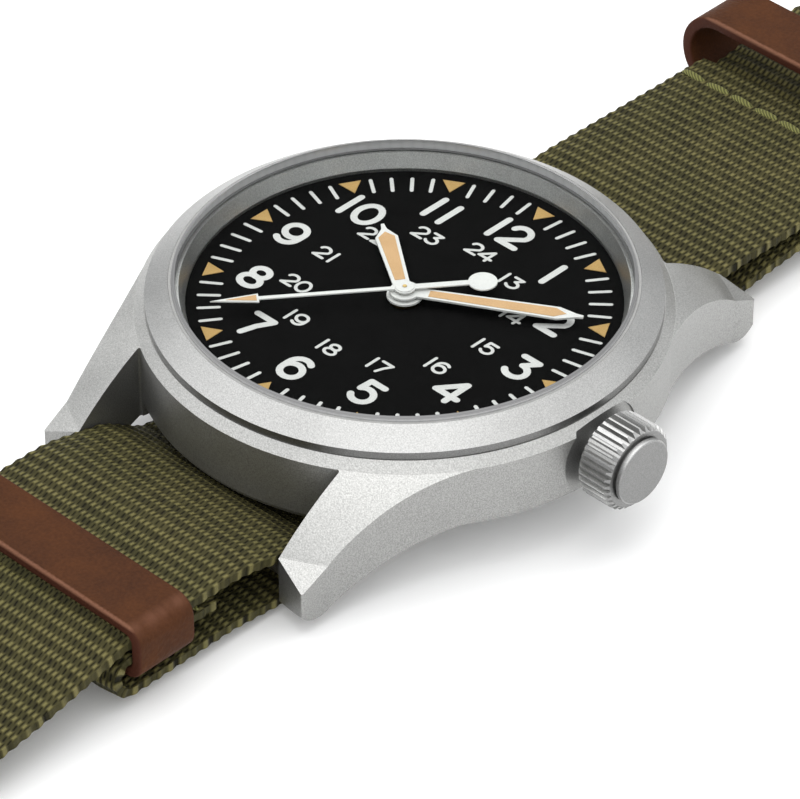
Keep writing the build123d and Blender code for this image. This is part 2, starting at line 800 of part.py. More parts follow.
bridge_jewels = [third_centre, escape_centre]
with BuildPart() as train_bridge:
    with BuildSketch(Plane.XY.offset(bridge_bottom)):
        Circle(bridge_radius)
        add(bridge_side(-1), mode=Mode.INTERSECT)
        with Locations(balance_centre):
            Circle(balance_clear, mode=Mode.SUBTRACT)
        with Locations(cock_foot):
            Circle(cock_foot_radius + seam_gap, mode=Mode.SUBTRACT)
        with Locations(*bridge_jewels):
            Circle(movement_hole, mode=Mode.SUBTRACT)
        with Locations(centre, great_centre):
            Circle(pivot_radius + close_fit, mode=Mode.SUBTRACT)
    extrude(amount=bridge_thickness)
    extrude(feet(train_feet, foot_radius), amount=plate_bottom - bridge_bottom)
    extrude(feet(train_feet, post_hole), amount=plate_bottom - bridge_bottom, mode=Mode.SUBTRACT)
train_bridge.part.label = "train_bridge"
export_step(train_bridge.part, "parts/train_bridge.step")

# Balance cock: a thick arm from its foot over the balance
cock_arm_radius = 1.3
cock_bottom = bridge_bottom - cock_thickness
with BuildPart() as balance_cock:
    arm = hulled(
        Plane.XY.offset(cock_bottom), (cock_foot, cock_foot_radius), (balance_centre, cock_arm_radius)
    )
    extrude(arm, amount=cock_thickness)
    with BuildSketch(Plane.XY.offset(cock_bottom)):
        with Locations(cock_foot):
            Circle(cock_foot_radius)
    extrude(amount=plate_bottom - cock_bottom)
    with BuildSketch(Plane.XY.offset(cock_bottom)):
        with Locations(cock_foot):
            Circle(post_hole)
    extrude(amount=plate_bottom - cock_bottom, mode=Mode.SUBTRACT)
    with BuildSketch(Plane.XY.offset(cock_bottom)):
        with Locations(balance_centre):
            Circle(movement_hole)
    extrude(amount=cock_thickness, mode=Mode.SUBTRACT)
balance_cock.part.label = "balance_cock"
export_step(balance_cock.part, "parts/balance_cock.step")

# Pallet bridge: a thin finger on one foot, above the balance rim
pallet_bridge_rise = 0.15
pallet_bridge_thickness = 0.3
pallet_arm_radius = 0.75
pallet_bridge_bottom = bridge_top + pallet_bridge_rise
with BuildPart() as pallet_bridge:
    finger = hulled(
        Plane.XY.offset(pallet_bridge_bottom),
        (pallet_foot, foot_radius),
        (pallet_centre, pallet_arm_radius),
    )
    extrude(finger, amount=pallet_bridge_thickness)
    with BuildSketch(Plane.XY.offset(pallet_bridge_bottom)):
        with Locations(pallet_foot):
            Circle(foot_radius)
    extrude(amount=plate_bottom - pallet_bridge_bottom)
    with BuildSketch(Plane.XY.offset(pallet_bridge_bottom)):
        with Locations(pallet_foot):
            Circle(post_hole)
    extrude(amount=plate_bottom - pallet_bridge_bottom, mode=Mode.SUBTRACT)
    with BuildSketch(Plane.XY.offset(pallet_bridge_bottom)):
        with Locations(pallet_foot):
            Circle(screw_head_radius + close_fit)
    extrude(amount=screw_head_height, mode=Mode.SUBTRACT)
    with BuildSketch(Plane.XY.offset(pallet_bridge_bottom)):
        with Locations(pallet_centre):
            Circle(movement_hole)
    extrude(amount=pallet_bridge_thickness, mode=Mode.SUBTRACT)
pallet_bridge.part.label = "pallet_bridge"
export_step(pallet_bridge.part, "parts/pallet_bridge.step")

# Movement ring: holds the movement in the case
ring_top = dial_bottom - running
ring_bottom = bridge_bottom
with BuildPart() as movement_ring:
    with BuildSketch(Plane.XY.offset(ring_bottom)):
        Circle(dial_radius)
        Circle(plate_radius + air, mode=Mode.SUBTRACT)
    extrude(amount=ring_top - ring_bottom)
    with BuildSketch(across(plate_radius)):
        Circle(tube_bore)
    extrude(amount=dial_radius, mode=Mode.SUBTRACT)
movement_ring.part.label = "movement_ring"
export_step(movement_ring.part, "parts/movement_ring.step")

# Screws of the movement, with slotted heads
screw_slot = 0.16
screw_depth = 0.9
screw_seats = [
    *((spot, bridge_bottom) for spot in (*barrel_feet, *train_feet)),
    (cock_foot, cock_bottom),
    (pallet_foot, pallet_bridge_bottom + screw_head_height),
]


def screw(spot, seat, reach):
    """The half section of a screw whose head is under its seat and whose shank goes up from it."""
    return section(
        upright(spot),
        (0, seat - screw_head_height),
        (screw_head_radius, seat - screw_head_height),
        (screw_head_radius, seat),
        (screw_radius, seat),
        (screw_radius, seat + reach),
        (0, seat + reach),
    )


def slot(plane, spot, radius):
    """The slot across a screw head."""
    with BuildSketch(plane) as groove:
        with Locations(spot):
            Rectangle(2 * (radius + cut_over), screw_slot)
    return groove.sketch


with BuildPart() as movement_screws:
    for spot, seat in screw_seats:
        revolve(screw(spot, seat, plate_bottom + screw_depth - seat), axis=over(spot))
        groove = slot(Plane.XY.offset(seat - screw_head_height), spot, screw_head_radius)
        extrude(groove, amount=screw_head_height / 2, mode=Mode.SUBTRACT)
    core = section(
        upright(crown_wheel_centre),
        (0, ratchet_bottom - screw_head_height),
        (core_radius + 2 * air, ratchet_bottom - screw_head_height),
        (core_radius + 2 * air, ratchet_bottom - running),
        (core_radius - running, ratchet_bottom - running),
        (core_radius - running, bridge_bottom),
        (0, bridge_bottom),
    )
    revolve(core, axis=over(crown_wheel_centre))
    groove = slot(Plane.XY.offset(ratchet_bottom - screw_head_height), crown_wheel_centre, core_radius)
    extrude(groove, amount=screw_head_height / 2, mode=Mode.SUBTRACT)
movement_screws.part.label = "movement_screws"
export_step(movement_screws.part, "parts/movement_screws.step")

# Jewels: a ring for each pivot in the plate and in its bridge
jewel_spots = [
    *((spot, plate_bottom) for spot in jewelled),
    *((spot, bridge_top - jewel_thickness) for spot in bridge_jewels),
    (pallet_centre, pallet_bridge_bottom),
    (balance_centre, bridge_bottom - jewel_thickness),
]
with BuildPart() as jewels:
    for spot, height in jewel_spots:
        with BuildSketch(level(height, spot)):
            Circle(jewel_radius)
            Circle(pivot_radius + close_fit, mode=Mode.SUBTRACT)
        extrude(amount=jewel_thickness)
jewels.part.label = "jewels"
export_step(jewels.part, "parts/jewels.step")

# Barrel: drum with its teeth, cover, spring, arbor, ratchet wheel and screw
barrel_wall = 0.25
barrel_floor = 0.15
barrel_tooth_height = 0.25
spring_strip = 0.12
spring_pitch = 0.3
spring_turns = 19
arbor_core = 1.0
arbor_square = 1.1
ratchet_hole = arbor_square + close_fit
drum_top = barrel_bottom + barrel_thickness
drum_inner = barrel_radius - barrel_wall
arbor_bearing = arbor_hole - running
with BuildPart() as barrel_drum:
    teeth = toothed(level(barrel_bottom, barrel_centre), barrel_teeth, barrel_pitch, barrel_phase)
    extrude(teeth, amount=barrel_tooth_height)
    with BuildSketch(level(barrel_bottom, barrel_centre)):
        Circle(barrel_radius)
    extrude(amount=barrel_thickness)
    with BuildSketch(level(barrel_bottom, barrel_centre)):
        Circle(drum_inner)
    extrude(amount=barrel_thickness - barrel_floor, mode=Mode.SUBTRACT)
    with BuildSketch(level(barrel_bottom, barrel_centre)):
        Circle(arbor_bearing + running)
    extrude(amount=barrel_thickness, mode=Mode.SUBTRACT)
barrel_drum.part.label = "barrel_drum"
export_step(barrel_drum.part, "parts/barrel_drum.step")

with BuildPart() as barrel_cover:
    with BuildSketch(level(barrel_bottom, barrel_centre)):
        Circle(drum_inner - close_fit)
        Circle(arbor_bearing + running, mode=Mode.SUBTRACT)
    extrude(amount=barrel_floor)
barrel_cover.part.label = "barrel_cover"
export_step(barrel_cover.part, "parts/barrel_cover.step")

spring_bottom = barrel_bottom + barrel_floor + running
with BuildPart() as mainspring:
    strip = spiral(
        level(spring_bottom, barrel_centre), arbor_core + air, spring_pitch, spring_turns, spring_strip
    )
    extrude(strip, amount=barrel_thickness - 2 * (barrel_floor + running))
mainspring.part.label = "mainspring"
export_step(mainspring.part, "parts/mainspring.step")

arbor_top = recess_top + barrel_roof
with BuildPart() as barrel_arbor:
    revolve(
        section(
            upright(barrel_centre),
            (0, ratchet_top),
            (arbor_bearing, ratchet_top),
            (arbor_bearing, barrel_bottom + barrel_floor + running),
            (arbor_core, barrel_bottom + barrel_floor + running),
            (arbor_core, drum_top - barrel_floor - running),
            (arbor_bearing, drum_top - barrel_floor - running),
            (arbor_bearing, drum_top + running),
            (barrel_pivot - running, drum_top + running),
            (barrel_pivot - running, arbor_top),
            (0, arbor_top),
        ),
        axis=over(barrel_centre),
    )
    with BuildSketch(level(ratchet_bottom, barrel_centre)):
        Rectangle(arbor_square, arbor_square)
    extrude(amount=ratchet_thickness)
    with BuildSketch(level(ratchet_bottom, barrel_centre)):
        Circle(screw_radius + close_fit)
    extrude(amount=screw_depth, mode=Mode.SUBTRACT)
barrel_arbor.part.label = "barrel_arbor"
export_step(barrel_arbor.part, "parts/barrel_arbor.step")

with BuildPart() as ratchet_wheel:
    ring = toothed(level(ratchet_bottom, barrel_centre), ratchet_teeth, ratchet_pitch, ratchet_phase)
    extrude(ring, amount=ratchet_thickness)
    with BuildSketch(level(ratchet_bottom, barrel_centre)):
        Rectangle(ratchet_hole, ratchet_hole)
    extrude(amount=ratchet_thickness, mode=Mode.SUBTRACT)
ratchet_wheel.part.label = "ratchet_wheel"
export_step(ratchet_wheel.part, "parts/ratchet_wheel.step")

ratchet_screw_head = 1.15
with BuildPart() as ratchet_screw:
    with BuildSketch(level(ratchet_bottom, barrel_centre)):
        Circle(ratchet_screw_head)
    extrude(amount=-screw_head_height)
    with BuildSketch(level(ratchet_bottom, barrel_centre)):
        Circle(screw_radius)
    extrude(amount=screw_depth - close_fit)
    groove = slot(Plane.XY.offset(ratchet_bottom - screw_head_height), barrel_centre, ratchet_screw_head)
    extrude(groove, amount=screw_head_height / 2, mode=Mode.SUBTRACT)
ratchet_screw.part.label = "ratchet_screw"
export_step(ratchet_screw.part, "parts/ratchet_screw.step")

# Crown wheel: spur teeth on its edge and face teeth for the winding pinion
contrate_mean = (contrate_inner + contrate_outer) / 2
contrate_top = stem_height - winding_pitch + air
contrate_tooth_depth = 0.25
with BuildPart() as crown_wheel:
    ring = toothed(
        level(ratchet_bottom, crown_wheel_centre), crown_wheel_teeth, crown_wheel_pitch, crown_wheel_phase
    )
    extrude(ring, amount=ratchet_thickness)
    with BuildSketch(level(ratchet_top, crown_wheel_centre)):
        Circle(contrate_outer)
        Circle(contrate_inner, mode=Mode.SUBTRACT)
    extrude(amount=contrate_top - contrate_tooth_depth - ratchet_top)
    with BuildSketch(level(contrate_top - contrate_tooth_depth, crown_wheel_centre)):
        with PolarLocations(contrate_mean, contrate_teeth):
            Rectangle(contrate_outer - contrate_inner - 2 * air, winding_pitch / winding_teeth * 2)
    extrude(amount=contrate_tooth_depth)
    with BuildSketch(level(ratchet_bottom, crown_wheel_centre)):
        Circle(core_radius)
    extrude(amount=ratchet_thickness, mode=Mode.SUBTRACT)
crown_wheel.part.label = "crown_wheel"
export_step(crown_wheel.part, "parts/crown_wheel.step")

# Click and its wire spring
click_boss = 0.6
click_beak_radius = 0.12
click_beak_heading = 82.0
click_thickness = 0.3
click_wire = 0.14
click_spring_gap = 0.4
click_beak = polar(
    click_beak_heading, ratchet_pitch * (1 + 2 * tip_share / ratchet_teeth) + 2 * air, barrel_centre
)
with BuildPart() as click:
    body = hulled(
        Plane.XY.offset(ratchet_bottom), (click_centre, click_boss), (click_beak, click_beak_radius)
    )
    extrude(body, amount=click_thickness)
    with BuildSketch(Plane.XY.offset(ratchet_bottom)):
        with Locations(click_centre):
            Circle(pivot_radius)
    extrude(amount=bridge_bottom + web_depth - close_fit - ratchet_bottom)
click.part.label = "click"
export_step(click.part, "parts/click.step")

wire_end = polar(
    click_beak_heading, math.dist(barrel_centre, click_beak) + click_spring_gap, barrel_centre
)
with BuildPart() as click_spring:
    with BuildSketch(Plane.XY.offset(ratchet_bottom + air)):
        with BuildLine():
            Line(wire_end, click_spring_post)
        trace(line_width=click_wire)
        with Locations(click_spring_post):
            Circle(click_spring_boss)
    extrude(amount=click_thickness / 2)
    with BuildSketch(Plane.XY.offset(ratchet_bottom + air)):
        with Locations(click_spring_post):
            Circle(screw_radius)
    extrude(amount=bridge_bottom + web_depth - close_fit - ratchet_bottom - air)
click_spring.part.label = "click_spring"
export_step(click_spring.part, "parts/click_spring.step")

# Train wheels, each on its arbor with its pinion
rim_width = 0.45
hub_radius = 0.6
spoke_width = 0.32
great_spokes, third_spokes, seconds_spokes = 5, 4, 4


def wheel_with_windows(height, spot, teeth, pitch, phase, spokes):
    """A spoked wheel of wheel_thickness, as its outline and the openings to cut from it."""
    ring = toothed(level(height, spot), teeth, pitch, phase)
    root = pitch - root_share * 2 * pitch / teeth
    return ring, windows(level(height, spot), hub_radius, root - rim_width, spokes, spoke_width)


def arbor(spot, low, shoulder_low, shoulder_high, high):
    """The half section of an arbor with a pivot at each end."""
    return section(
        upright(spot),
        (0, low),
        (pivot_radius, low),
        (pivot_radius, shoulder_low),
        (arbor_radius, shoulder_low),
        (arbor_radius, shoulder_high),
        (pivot_radius, shoulder_high),
        (pivot_radius, high),
        (0, high),
    )


low_end = bridge_top - jewel_thickness
high_end = plate_bottom + jewel_thickness
low_shoulder = bridge_top + close_fit
high_shoulder = plate_bottom - close_fit
great_pinion_top = plate_bottom - running
pinion_low_top = middle_level - air
with BuildPart() as great_wheel:
    ring, gaps = wheel_with_windows(
        lower_level, great_centre, great_teeth, great_pitch, great_phase, great_spokes
    )
    extrude(ring, amount=wheel_thickness)
    extrude(gaps, amount=wheel_thickness, mode=Mode.SUBTRACT)
    pinion_plane = level(lower_level + wheel_thickness, great_centre)
    pinion = toothed(pinion_plane, great_pinion_teeth, great_pinion_pitch, great_phase)
    extrude(pinion, amount=great_pinion_top - lower_level - wheel_thickness)
    revolve(arbor(great_centre, low_end, low_shoulder, high_shoulder, high_end), axis=over(great_centre))
great_wheel.part.label = "great_wheel"
export_step(great_wheel.part, "parts/great_wheel.step")

with BuildPart() as third_wheel:
    ring, gaps = wheel_with_windows(
        upper_level, third_centre, third_teeth, third_pitch, third_phase, third_spokes
    )
    extrude(ring, amount=wheel_thickness)
    extrude(gaps, amount=wheel_thickness, mode=Mode.SUBTRACT)
    pinion = toothed(level(low_shoulder, third_centre), third_pinion_teeth, third_pinion_pitch, third_phase)
    extrude(pinion, amount=pinion_low_top - low_shoulder)
    revolve(arbor(third_centre, low_end, low_shoulder, high_shoulder, high_end), axis=over(third_centre))
third_wheel.part.label = "third_wheel"
export_step(third_wheel.part, "parts/third_wheel.step")

second_hub_top = second_hand_bottom + hand_step / 2
second_pin_top = second_hub_top + running
with BuildPart() as seconds_wheel:
    ring, gaps = wheel_with_windows(
        middle_level, centre, seconds_teeth, seconds_pitch, seconds_phase, seconds_spokes
    )
    extrude(ring, amount=wheel_thickness)
    extrude(gaps, amount=wheel_thickness, mode=Mode.SUBTRACT)
    pinion = toothed(level(middle_level, centre), seconds_pinion_teeth, seconds_pinion_pitch, seconds_phase)
    extrude(pinion, amount=great_pinion_top - middle_level)
    revolve(
        arbor(centre, low_end, low_shoulder, second_hand_bottom - running, second_pin_top),
        axis=Axis.Z,
    )
seconds_wheel.part.label = "fourth_wheel"
export_step(seconds_wheel.part, "parts/fourth_wheel.step")

# Escapement
escape_teeth = 20
escape_root_radius = 1.75
escape_hub = 0.45
escape_spokes = 4
escape_hook_share = 0.35
fork_thickness = 0.15
fork_bottom = upper_level - running / 2
fork_arm_width = 0.26
fork_boss = 0.42
stone_width = 0.2
stone_length = 0.5
stone_thickness = 0.22
pallet_span = math.degrees(math.asin(escape_tip_radius / escape_to_pallet))
pallet_reach = 1.62
roller_radius = 1.0
roller_thickness = 0.15
impulse_reach = 0.7
impulse_radius = 0.12
fork_slot = 0.34
fork_length = pallet_to_balance - impulse_reach + 2 * impulse_radius
escape_corners = []
for tooth in range(escape_teeth):
    start = tooth * 360 / escape_teeth
    escape_corners.append(polar(start, escape_root_radius))
    escape_corners.append(polar(start + escape_hook_share * 360 / escape_teeth, escape_tip_radius))
    escape_corners.append(polar(start + escape_hook_share * 540 / escape_teeth, escape_root_radius))
with BuildPart() as escape_wheel:
    escape_plane = level(upper_level, escape_centre, lever_heading)
    extrude(section(escape_plane, *escape_corners), amount=wheel_thickness)
    gaps = windows(
        escape_plane, escape_hub, escape_root_radius - rim_width / 2, escape_spokes, spoke_width
    )
    extrude(gaps, amount=wheel_thickness, mode=Mode.SUBTRACT)
    pinion = toothed(
        level(low_shoulder, escape_centre), escape_pinion_teeth, escape_pinion_pitch, escape_pinion_phase
    )
    extrude(pinion, amount=upper_level - low_shoulder)
    revolve(arbor(escape_centre, low_end, low_shoulder, high_shoulder, high_end), axis=over(escape_centre))
escape_wheel.part.label = "escape_wheel"
export_step(escape_wheel.part, "parts/escape_wheel.step")

fork_plane = level(fork_bottom, pallet_centre, lever_heading)
stone_reach = pallet_reach - stone_length
pallet_low = pallet_bridge_bottom
with BuildPart() as pallet_fork:
    with BuildSketch(fork_plane):
        Circle(fork_boss)
        Rectangle(fork_length, fork_arm_width, align=(Align.MIN, Align.CENTER))
        with Locations((fork_length, 0)):
            Rectangle(
                2 * impulse_reach, fork_slot + 2 * fork_arm_width, align=(Align.MAX, Align.CENTER)
            )
        with Locations((fork_length, 0)):
            Rectangle(impulse_reach, fork_slot, align=(Align.MAX, Align.CENTER), mode=Mode.SUBTRACT)
        with Locations((0, 0)):
            for side in (1, -1):
                Rectangle(
                    stone_reach,
                    fork_arm_width,
                    rotation=180 + side * pallet_span,
                    align=(Align.MIN, Align.CENTER),
                )
    extrude(amount=fork_thickness)
    revolve(
        arbor(
            pallet_centre,
            pallet_low,
            pallet_low + pallet_bridge_thickness + close_fit,
            high_shoulder,
            high_end,
        ),
        axis=over(pallet_centre),
    )
pallet_fork.part.label = "pallet_fork"
export_step(pallet_fork.part, "parts/pallet_fork.step")

with BuildPart() as pallet_stones:
    for side in (1, -1):
        stone_heading = lever_heading + 180 + side * pallet_span
        stone_spot = polar(stone_heading, stone_reach + close_fit, pallet_centre)
        with BuildSketch(level(fork_bottom, stone_spot, stone_heading)):
            Rectangle(stone_length / 2, stone_width, align=(Align.MIN, Align.CENTER))
        extrude(amount=stone_thickness)
pallet_stones.part.label = "pallet_stones"
export_step(pallet_stones.part, "parts/pallet_stones.step")

# Balance: wheel on its staff, hairspring and regulator
balance_radius = 4.3
balance_rim = 0.5
balance_thickness = 0.35
balance_rise = 0.45
balance_hub = 0.7
balance_spokes = 3
hairspring_inner = 0.7
hairspring_pitch = 0.22
hairspring_turns = 19
hairspring_strip = 0.06
hairspring_width = 0.2
staff_low = bridge_bottom - jewel_thickness
balance_bottom = bridge_bottom + balance_rise
balance_top = balance_bottom + balance_thickness
roller_bottom = middle_level
with BuildPart() as balance_wheel:
    with BuildSketch(level(balance_bottom, balance_centre, lever_heading)):
        Circle(balance_radius)
    extrude(amount=balance_thickness)
    gaps = windows(
        level(balance_bottom, balance_centre, lever_heading),
        balance_hub,
        balance_radius - balance_rim,
        balance_spokes,
        spoke_width,
    )
    extrude(gaps, amount=balance_thickness, mode=Mode.SUBTRACT)
    with BuildSketch(level(balance_bottom, balance_centre)):
        Circle(staff_radius + close_fit)
    extrude(amount=balance_thickness, mode=Mode.SUBTRACT)
balance_wheel.part.label = "balance_wheel"
export_step(balance_wheel.part, "parts/balance_wheel.step")

with BuildPart() as balance_staff:
    revolve(
        section(
            upright(balance_centre),
            (0, staff_low),
            (pivot_radius, staff_low),
            (pivot_radius, bridge_bottom + close_fit),
            (staff_radius, bridge_bottom + close_fit),
            (staff_radius, balance_top + close_fit),
            (balance_hub, balance_top + close_fit),
            (balance_hub, balance_top + running),
            (staff_radius, balance_top + running),
            (staff_radius, roller_bottom),
            (roller_radius, roller_bottom),
            (roller_radius, roller_bottom + roller_thickness),
            (pivot_radius, roller_bottom + roller_thickness),
            (pivot_radius, high_end),
            (0, high_end),
        ),
        axis=over(balance_centre),
    )
    impulse_spot = polar(lever_heading + 180, impulse_reach, balance_centre)
    with BuildSketch(level(roller_bottom + roller_thickness, impulse_spot)):
        Circle(impulse_radius)
    extrude(amount=fork_bottom + fork_thickness - roller_bottom - roller_thickness)
balance_staff.part.label = "balance_staff"
export_step(balance_staff.part, "parts/balance_staff.step")

hairspring_bottom = (bridge_bottom + balance_bottom - hairspring_width) / 2
with BuildPart() as hairspring:
    coil = spiral(
        level(hairspring_bottom, balance_centre),
        hairspring_inner,
        hairspring_pitch,
        hairspring_turns,
        hairspring_strip,
    )
    extrude(coil, amount=hairspring_width)
hairspring.part.label = "hairspring"
export_step(hairspring.part, "parts/hairspring.step")

regulator_ring = 0.85
regulator_length = 3.2
regulator_width = 0.4
regulator_thickness = 0.2
regulator_heading = 200.0
with BuildPart() as regulator:
    with BuildSketch(level(cock_bottom - regulator_thickness - close_fit, balance_centre, regulator_heading)):
        Circle(regulator_ring)
        Rectangle(regulator_length, regulator_width, align=(Align.MIN, Align.CENTER))
        Circle(jewel_radius, mode=Mode.SUBTRACT)
    extrude(amount=regulator_thickness)
regulator.part.label = "regulator"
export_step(regulator.part, "parts/regulator.step")

# Motion works between the plate and the dial
cannon_bottom = plate_top + air
cannon_height = 0.35
minute_wheel_bottom = cannon_bottom
minute_wheel_thickness = 0.2
hour_wheel_bottom = minute_wheel_bottom + minute_wheel_thickness + 2 * air
hour_tube_top = hour_hand_bottom + air
cannon_tube_top = minute_hand_bottom + air
setting_bottom = plate_top - setting_recess + running
with BuildPart() as cannon_pinion:
    extrude(toothed(level(cannon_bottom), cannon_teeth, cannon_pitch, cannon_phase), amount=cannon_height)
    with BuildSketch(level(cannon_bottom)):
        Circle(cannon_radius)
    extrude(amount=cannon_tube_top - cannon_bottom)
    with BuildSketch(level(cannon_bottom)):
        Circle(cannon_bore)
    extrude(amount=cannon_tube_top - cannon_bottom, mode=Mode.SUBTRACT)
cannon_pinion.part.label = "cannon_pinion"
export_step(cannon_pinion.part, "parts/cannon_pinion.step")

with BuildPart() as hour_wheel:
    ring = toothed(level(hour_wheel_bottom), hour_teeth, hour_pitch, hour_phase)
    extrude(ring, amount=wheel_thickness)
    with BuildSketch(level(hour_wheel_bottom)):
        Circle(hour_radius)
    extrude(amount=hour_tube_top - hour_wheel_bottom)
    with BuildSketch(level(hour_wheel_bottom)):
        Circle(hour_bore)
    extrude(amount=hour_tube_top - hour_wheel_bottom, mode=Mode.SUBTRACT)
hour_wheel.part.label = "hour_wheel"
export_step(hour_wheel.part, "parts/hour_wheel.step")

with BuildPart() as minute_wheel:
    ring = toothed(level(minute_wheel_bottom, minute_centre), minute_teeth, minute_pitch, minute_phase)
    extrude(ring, amount=minute_wheel_thickness)
    pinion = toothed(
        level(minute_wheel_bottom, minute_centre), minute_pinion_teeth, minute_pinion_pitch, minute_phase
    )
    extrude(pinion, amount=hour_wheel_bottom + wheel_thickness - minute_wheel_bottom)
    with BuildSketch(level(plate_top - pin_depth + close_fit, minute_centre)):
        Circle(pin_radius)
    extrude(amount=cannon_bottom - plate_top + pin_depth)
minute_wheel.part.label = "minute_wheel"
export_step(minute_wheel.part, "parts/minute_wheel.step")

with BuildPart() as setting_wheel:
    ring = toothed(level(setting_bottom, setting_centre), setting_teeth, setting_pitch, setting_phase)
    extrude(ring, amount=minute_wheel_bottom + minute_wheel_thickness - setting_bottom)
setting_wheel.part.label = "setting_wheel"
export_step(setting_wheel.part, "parts/setting_wheel.step")

# Dial with its two feet
with BuildPart() as dial:
    with BuildSketch(level(dial_bottom)):
        Circle(dial_radius)
        Circle(hour_radius + air, mode=Mode.SUBTRACT)
    extrude(amount=dial_thickness)
    with BuildSketch(level(dial_bottom - dial_foot_length)):
        with Locations(*dial_feet):
            Circle(dial_foot_radius)
    extrude(amount=dial_foot_length)
dial.part.label = "dial"
export_step(dial.part, "parts/dial.step")

# Hands, in headings from the crown side
hour_heading = 145.0
minute_heading = 30.5
second_heading = -128.75
hour_reach = 8.62
hour_shoulder = 7.0
hour_point = 8.0
hour_root_half = 0.57
hour_shoulder_half = 0.83
minute_reach = 13.0
minute_shoulder = 11.2
minute_point = 12.5
minute_root_half = 0.5
minute_shoulder_half = 0.69
hour_hub = 1.3
minute_hub = 1.1
hand_point_half = 0.2
hand_tip_half = 0.12
second_reach = 13.92
second_arrow_start = 10.45
second_arrow_half = 0.5
second_root_half = 0.17
second_disc_reach = 5.61
second_disc_radius = 1.05
second_tail_half = 0.26
second_hub = 0.76
second_hand_thickness = 0.1


def blade(heading, bottom, root_half, shoulder, shoulder_half, point, reach):
    """A hand that widens to its shoulders, then narrows to a fine point."""
    return section(
        level(bottom, centre, heading),
        (0, -root_half),
        (shoulder, -shoulder_half),
        (point, -hand_point_half),
        (reach, -hand_tip_half),
        (reach, hand_tip_half),
        (point, hand_point_half),
        (shoulder, shoulder_half),
        (0, root_half),
    )


with BuildPart() as hour_hand:
    outline = blade(
        hour_heading,
        hour_hand_bottom,
        hour_root_half,
        hour_shoulder,
        hour_shoulder_half,
        hour_point,
        hour_reach,
    )
    extrude(outline, amount=hand_thickness)
    with BuildSketch(level(hour_hand_bottom)):
        Circle(hour_hub)
    extrude(amount=hand_thickness)
    with BuildSketch(level(hour_hand_bottom)):
        Circle(hour_radius + close_fit)
    extrude(amount=air + close_fit, mode=Mode.SUBTRACT)
    with BuildSketch(level(hour_hand_bottom)):
        Circle(cannon_radius + running)
    extrude(amount=hand_thickness, mode=Mode.SUBTRACT)
hour_hand.part.label = "hour_hand"
export_step(hour_hand.part, "parts/hour_hand.step")

with BuildPart() as minute_hand:
    outline = blade(
        minute_heading,
        minute_hand_bottom,
        minute_root_half,
        minute_shoulder,
        minute_shoulder_half,
        minute_point,
        minute_reach,
    )
    extrude(outline, amount=hand_thickness)
    with BuildSketch(level(minute_hand_bottom)):
        Circle(minute_hub)
    extrude(amount=hand_thickness)
    with BuildSketch(level(minute_hand_bottom)):
        Circle(cannon_radius + close_fit)
    extrude(amount=air + close_fit, mode=Mode.SUBTRACT)
    with BuildSketch(level(minute_hand_bottom)):
        Circle(arbor_radius + running)
    extrude(amount=hand_thickness, mode=Mode.SUBTRACT)
minute_hand.part.label = "minute_hand"
export_step(minute_hand.part, "parts/minute_hand.step")

with BuildPart() as second_hand:
    second_plane = level(second_hand_bottom, centre, second_heading)
    outline = section(
        second_plane,
        (0, -second_root_half),
        (second_arrow_start, -second_root_half),
        (second_arrow_start, -second_arrow_half),
        (second_reach, 0),
        (second_arrow_start, second_arrow_half),
        (second_arrow_start, second_root_half),
        (0, second_root_half),
    )
    extrude(outline, amount=second_hand_thickness)
    with BuildSketch(second_plane):
        Circle(second_hub)
        Rectangle(second_disc_reach, 2 * second_tail_half, align=(Align.MAX, Align.CENTER))
        with Locations((-second_disc_reach, 0)):
            Circle(second_disc_radius)
    extrude(amount=second_hand_thickness)
    with BuildSketch(second_plane):
        Circle(second_hub - air)
    extrude(amount=second_hub_top - second_hand_bottom)
    with BuildSketch(second_plane):
        Circle(pivot_radius + close_fit)
    extrude(amount=second_hub_top - second_hand_bottom, mode=Mode.SUBTRACT)
second_hand.part.label = "second_hand"
export_step(second_hand.part, "parts/second_hand.step")

# Keyless works on the stem
pilot_length = 1.1
square_half = 0.4
groove_start = 10.75
groove_width = 0.4
groove_radius = 0.4
sliding_end = winding_start - running
sliding_groove_start = 8.6
sliding_groove_end = 9.1
sliding_groove_radius = 0.95
yoke_peg_aside = 1.25
yoke_peg_radius = 0.2
lever_pin_aside = 0.56
lever_pin_radius = 0.13
lever_thickness = 0.3
lever_boss = 0.7
spring_thickness = 0.15
square_start = pilot_start + pilot_length
square_end = winding_start + running
yoke_peg = ((sliding_groove_start + sliding_groove_end) / 2, yoke_peg_aside)
lever_pin = (groove_start + groove_width / 2, lever_pin_aside)
lever_bottom = plate_top + running
lever_top = lever_bottom + lever_thickness
cover_bottom = lever_top + running
with BuildPart() as winding_stem:
    with BuildSketch(across(pilot_start)):
        Circle(pilot_radius)
    extrude(amount=square_start - pilot_start)
    with BuildSketch(across(square_start)):
        Rectangle(2 * square_half, 2 * square_half)
    extrude(amount=square_end - square_start)
    with BuildSketch(across(square_end)):
        Circle(stem_radius)
    extrude(amount=stem_end - square_end)
    with BuildSketch(across(groove_start)):
        Circle(stem_radius + cut_over)
        Circle(groove_radius, mode=Mode.SUBTRACT)
    extrude(amount=groove_width, mode=Mode.SUBTRACT)
winding_stem.part.label = "winding_stem"
export_step(winding_stem.part, "parts/winding_stem.step")

winding_phase = -90 + 180 / winding_teeth
with BuildPart() as winding_pinion:
    extrude(
        toothed(across(winding_start), winding_teeth, winding_pitch, winding_phase),
        amount=winding_end - winding_start,
    )
    with BuildSketch(across(winding_start)):
        Circle(stem_radius + close_fit)
    extrude(amount=winding_end - winding_start, mode=Mode.SUBTRACT)
winding_pinion.part.label = "winding_pinion"
export_step(winding_pinion.part, "parts/winding_pinion.step")

